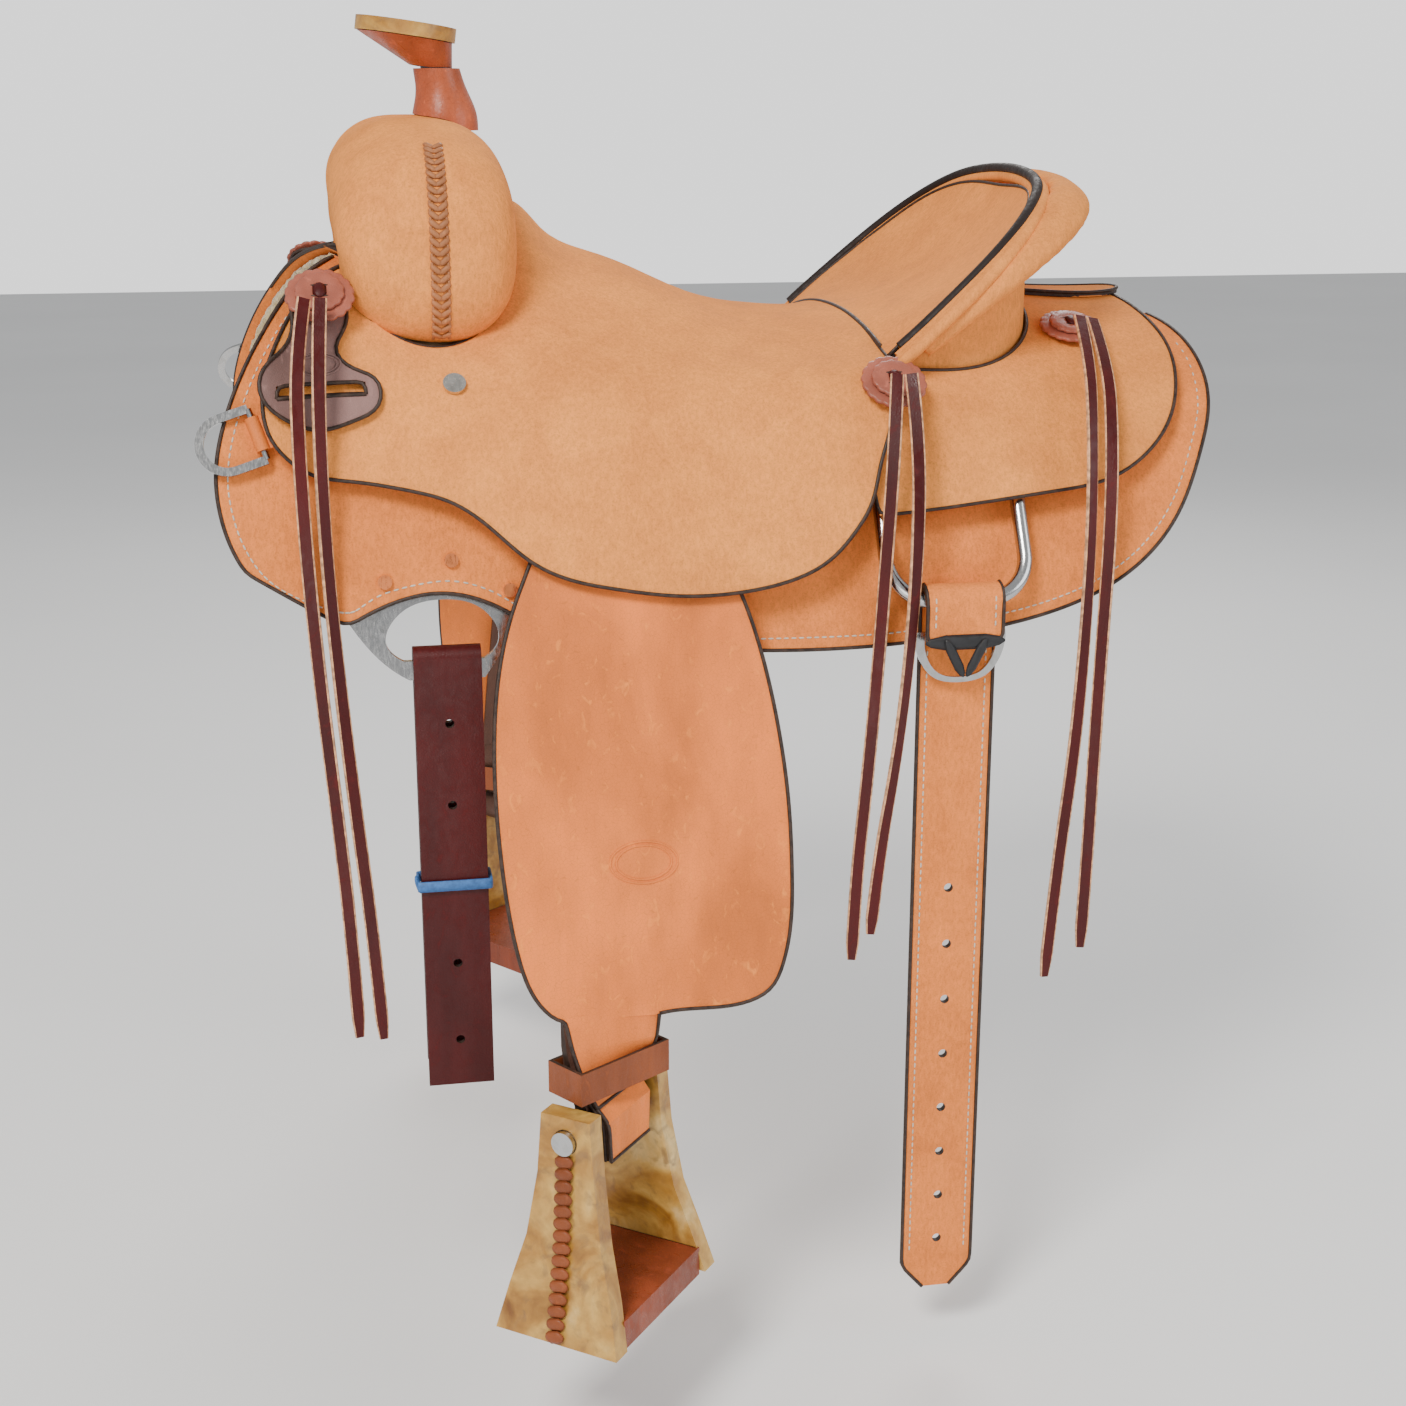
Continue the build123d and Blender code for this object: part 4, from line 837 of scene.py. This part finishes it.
for side in ("left", "right"):
    vertices, faces, base_vertices, base_faces = [], [], [], []
    for line, out in strip_islands("stirrup_lacing_" + side):
        places = even_steps(line, WRAP_PITCH * MM)
        for p, q in zip(places, places[1:]):
            along = (q - p).normalized()
            across = along.cross(out).normalized()
            wrap = (across + along * 0.22).normalized()
            middle = (p + q) / 2
            add_pill(vertices, faces, middle + out * 0.0004, wrap, out, 0.0068, 0.0046, 0.0017)
            add_pill(base_vertices, base_faces, middle - out * 0.0009, along, out,
                     0.0050, 0.0034, 0.0008)
    lace = make_mesh("stirrup_lace_" + side, vertices + base_vertices,
                     faces + [tuple(i + len(vertices) for i in f) for f in base_faces],
                     BROWN, "stirrup_" + side)
    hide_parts("stirrup_lacing_" + side)


# ------------------------------------------------------- soft pieces from the CAD
def copy_of(node, name, voxel):
    """A remeshed copy of a CAD solid, to be worked into a soft piece."""
    source = nodes[node]
    o = bpy.data.objects.new(name, source.data.copy())
    bpy.context.scene.collection.objects.link(o)
    remesh = o.modifiers.new("remesh", "REMESH")
    remesh.mode = "VOXEL"
    remesh.voxel_size = voxel
    remesh.use_smooth_shade = True
    return bake(o)


def bake(o):
    """Applies an object's modifiers."""
    bpy.context.view_layer.update()
    depsgraph = bpy.context.evaluated_depsgraph_get()
    mesh = bpy.data.meshes.new_from_object(o.evaluated_get(depsgraph))
    o.modifiers.clear()
    o.data = mesh
    for polygon in mesh.polygons:
        polygon.use_smooth = True
    return o


CLOTH_FRAMES = 20


def swell_out(o, pressure, cap, shrink):
    """Fills a remeshed piece by cloth simulation and caps how far its points move."""
    start = [v.co - v.normal * shrink for v in o.data.vertices]
    for v, p in zip(o.data.vertices, start):
        v.co = p
    cloth = o.modifiers.new("cloth", "CLOTH")
    cloth.settings.use_pressure = True
    cloth.settings.uniform_pressure_force = pressure
    cloth.settings.effector_weights.gravity = 0
    cloth.settings.quality = 5
    cloth.point_cache.frame_start = 1
    cloth.point_cache.frame_end = CLOTH_FRAMES
    for f in range(1, CLOTH_FRAMES + 1):
        bpy.context.scene.frame_set(f)
    bake(o)
    for v, p in zip(o.data.vertices, start):
        move = v.co - p
        if move.length > cap:
            v.co = p + move.normalized() * cap
    bpy.context.scene.frame_set(1)
    return o


roll = copy_of("cheyenne_roll", "rolled_cantle", 0.0045)
swell_out(roll, 4.0, 0.004, 0.0005)
smooth = roll.modifiers.new("smooth", "SMOOTH")
smooth.factor = 0.5
smooth.iterations = 6
subdivide = roll.modifiers.new("subdivide", "SUBSURF")
subdivide.levels = subdivide.render_levels = 1
bake(roll)
roll.data.materials.clear()
roll.data.materials.append(SEAT)
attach(roll, "saddle")
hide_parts("cheyenne_roll")

# leather drawn tight under the binding, from the dish's edge to the roll
rim = nodes["cantle_binding"].data
rim_middle = sum((v.co for v in rim.vertices), Vector()) / len(rim.vertices)
vertices, faces = [], []
for size, drop in ((0.972, 0.0050), (1.025, 0.0045), (1.05, 0.0060), (1.07, 0.0070)):
    start = len(vertices)
    for v in rim.vertices:
        vertices.append(rim_middle + (v.co - rim_middle) * size - Vector((0, 0, drop)))
    faces += [tuple(start + i for i in p.vertices) for p in rim.polygons]
make_mesh("cantle_filler", vertices, faces, SEAT, "saddle")

fleece = copy_of("sheepskin_lining", "fleece_lining", 0.0045)
moved = []
for v in fleece.data.vertices:
    curl = noise.noise(v.co * 190) + 0.6 * noise.noise(v.co * 420)
    moved.extend(v.co + v.normal * (0.0016 * curl - 0.0012))
fleece.data.vertices.foreach_set("co", moved)
fleece.data.materials.clear()
fleece.data.materials.append(FLEECE)
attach(fleece, "saddle")
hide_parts("sheepskin_lining")


# ----------------------------------------------------------------- small trim
BAND_Z = (-343, -336)      # lower and upper end of the rubber band on the tie strap
KEEPER_Z = -183            # height of the keeper across the billet


def strap_band(name, body, node, z0, z1, gap, thick, material):
    """A band round the straps of a node, as far out as their box."""
    low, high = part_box(node)
    x0, x1 = low.x - gap * MM, high.x + gap * MM
    y0, y1 = low.y - gap * MM, high.y + gap * MM
    loop = []
    for cx, cy, a0 in ((x1, y1, 0), (x0, y1, 90), (x0, y0, 180), (x1, y0, 270)):
        for k in range(5):
            a = math.radians(a0 + 22.5 * k)
            loop.append((cx + math.cos(a) * 0.001, cy + math.sin(a) * 0.001, a))
    vertices, faces = [], []
    for x, y, a in loop:
        grow = Vector((math.cos(a), math.sin(a), 0)) * (thick * MM)
        for z, out in ((z0, 0.0), (z0, 1.0), ((z0 + z1) / 2, 1.12), (z1, 1.0), (z1, 0.0)):
            vertices.append(Vector((x, y, z * MM)) + grow * out)
    count = len(loop)
    for i in range(count):
        for k in range(5):
            a, b = i * 5 + k, i * 5 + (k + 1) % 5
            c, d = ((i + 1) % count) * 5 + (k + 1) % 5, ((i + 1) % count) * 5 + k
            faces.append((a, d, c, b))
    return make_mesh(name, vertices, faces, material, body)


strap_band("rubber_band", "tie_strap_left", "tie_strap_left", *BAND_Z, 0.3, 1.6, BLUE)
low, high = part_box("tie_strap_left")
knot = Vector((high.x + 0.0022, high.y - 0.004, sum(BAND_Z) / 2 * MM))
vertices, faces = [], []
for lean in (-0.5, 0.15, 0.8):
    add_pill(vertices, faces, knot, Vector((0.25, lean, 1)).normalized(), Vector((1, 0, 0)),
             0.0062, 0.0024, 0.002)
make_mesh("rubber_band_knot", vertices, faces, BLUE, "tie_strap_left")

# black keeper strap and its lace, just below the billet's folded flap
vertices, faces = [], []
ends = [Vector((x, 0, KEEPER_Z * MM)) for x in (billet_low.x + 0.002, billet_high.x - 0.002)]
strap_y = max(p.y for p, _ in down_onto("rear_billet_left", ends, Vector((0, -1, 0))))
centre_x = (billet_low.x + billet_high.x) / 2
out = Vector((0, 1, 0))
strap = Vector((centre_x, strap_y + 0.0008, KEEPER_Z * MM))
half_width = (billet_high.x - billet_low.x) / 2
add_pill(vertices, faces, strap, Vector((1, 0, 0)), out, half_width + 0.0015, 0.0052, 0.0014)
for way in (-1, 1):
    lace = strap + Vector((way * 0.0075, 0.0018, -0.0105))
    add_pill(vertices, faces, lace, Vector((way * 0.5, 0, 1)).normalized(), out,
             0.0145, 0.0034, 0.0012)
make_mesh("billet_keeper", vertices, faces, BLACK, "rear_billet_left")

# ------------------------------------------------------------- stage and light
FLOOR_Z, FLOOR_REACH = -0.72, 9
corners = [(x * FLOOR_REACH, y * FLOOR_REACH, FLOOR_Z)
           for x, y in ((-1, -1), (1, -1), (1, 1), (-1, 1))]
floor_mesh = bpy.data.meshes.new("floor")
floor_mesh.from_pydata(corners, [], [(0, 1, 2, 3)])
floor = bpy.data.objects.new("floor", floor_mesh)
bpy.context.scene.collection.objects.link(floor)
shade = Shade("pale_floor", roughness=0.75)
floor_cloud = shade.noise(1.2, 4)
floor_mesh.materials.append(shade.done(shade.grey(floor_cloud, 0.88, 0.92)))


def area_light(name, place, target, size, power, colour):
    data = bpy.data.lights.new(name, "AREA")
    data.shape = "DISK"
    data.size = size
    data.energy = power
    data.color = colour
    o = bpy.data.objects.new(name, data)
    o.location = place
    o.rotation_euler = (Vector(target) - Vector(place)).to_track_quat("-Z", "Y").to_euler()
    bpy.context.scene.collection.objects.link(o)


area_light("key", (1.3, 2.0, 2.0), (0, 0, -0.2), 1.0, 95, (1.0, 0.97, 0.92))
area_light("fill", (-2.4, 1.6, 0.8), (0, 0, -0.25), 2.0, 30, (0.94, 0.97, 1.0))
area_light("back", (-0.8, -2.2, 1.6), (0, 0, 0), 1.6, 34, (1.0, 0.98, 0.95))
area_light("low", (0.6, 2.2, -0.4), (0, 0.2, -0.45), 1.2, 10, (1.0, 0.97, 0.93))

world = bpy.data.worlds.new("studio")
world.use_nodes = True
sky = world.node_tree.nodes["Background"]
sky.inputs["Color"].default_value = (0.95, 0.96, 0.97, 1)
sky.inputs["Strength"].default_value = 0.55
backdrop = world.node_tree.nodes.new("ShaderNodeBackground")
backdrop.inputs["Color"].default_value = (1.0, 1.0, 1.0, 1)
backdrop.inputs["Strength"].default_value = 1.5
seen = world.node_tree.nodes.new("ShaderNodeLightPath")
either = world.node_tree.nodes.new("ShaderNodeMixShader")
world_output = world.node_tree.nodes["World Output"]
for value, socket in (
    (seen.outputs["Is Camera Ray"], either.inputs[0]),
    (sky.outputs[0], either.inputs[1]),
    (backdrop.outputs[0], either.inputs[2]),
    (either.outputs[0], world_output.inputs["Surface"]),
):
    world.node_tree.links.new(value, socket)
bpy.context.scene.world = world

camera_data = bpy.data.cameras.new("camera")
camera_data.lens = 53.77
camera_data.sensor_width = 36
camera = bpy.data.objects.new("camera", camera_data)
camera.location = (0.2873, 1.5501, 0.1620)
camera.rotation_euler = Vector((-0.1752, -0.9452, -0.2756)).to_track_quat("-Z", "Y").to_euler()
bpy.context.scene.collection.objects.link(camera)
bpy.context.scene.camera = camera
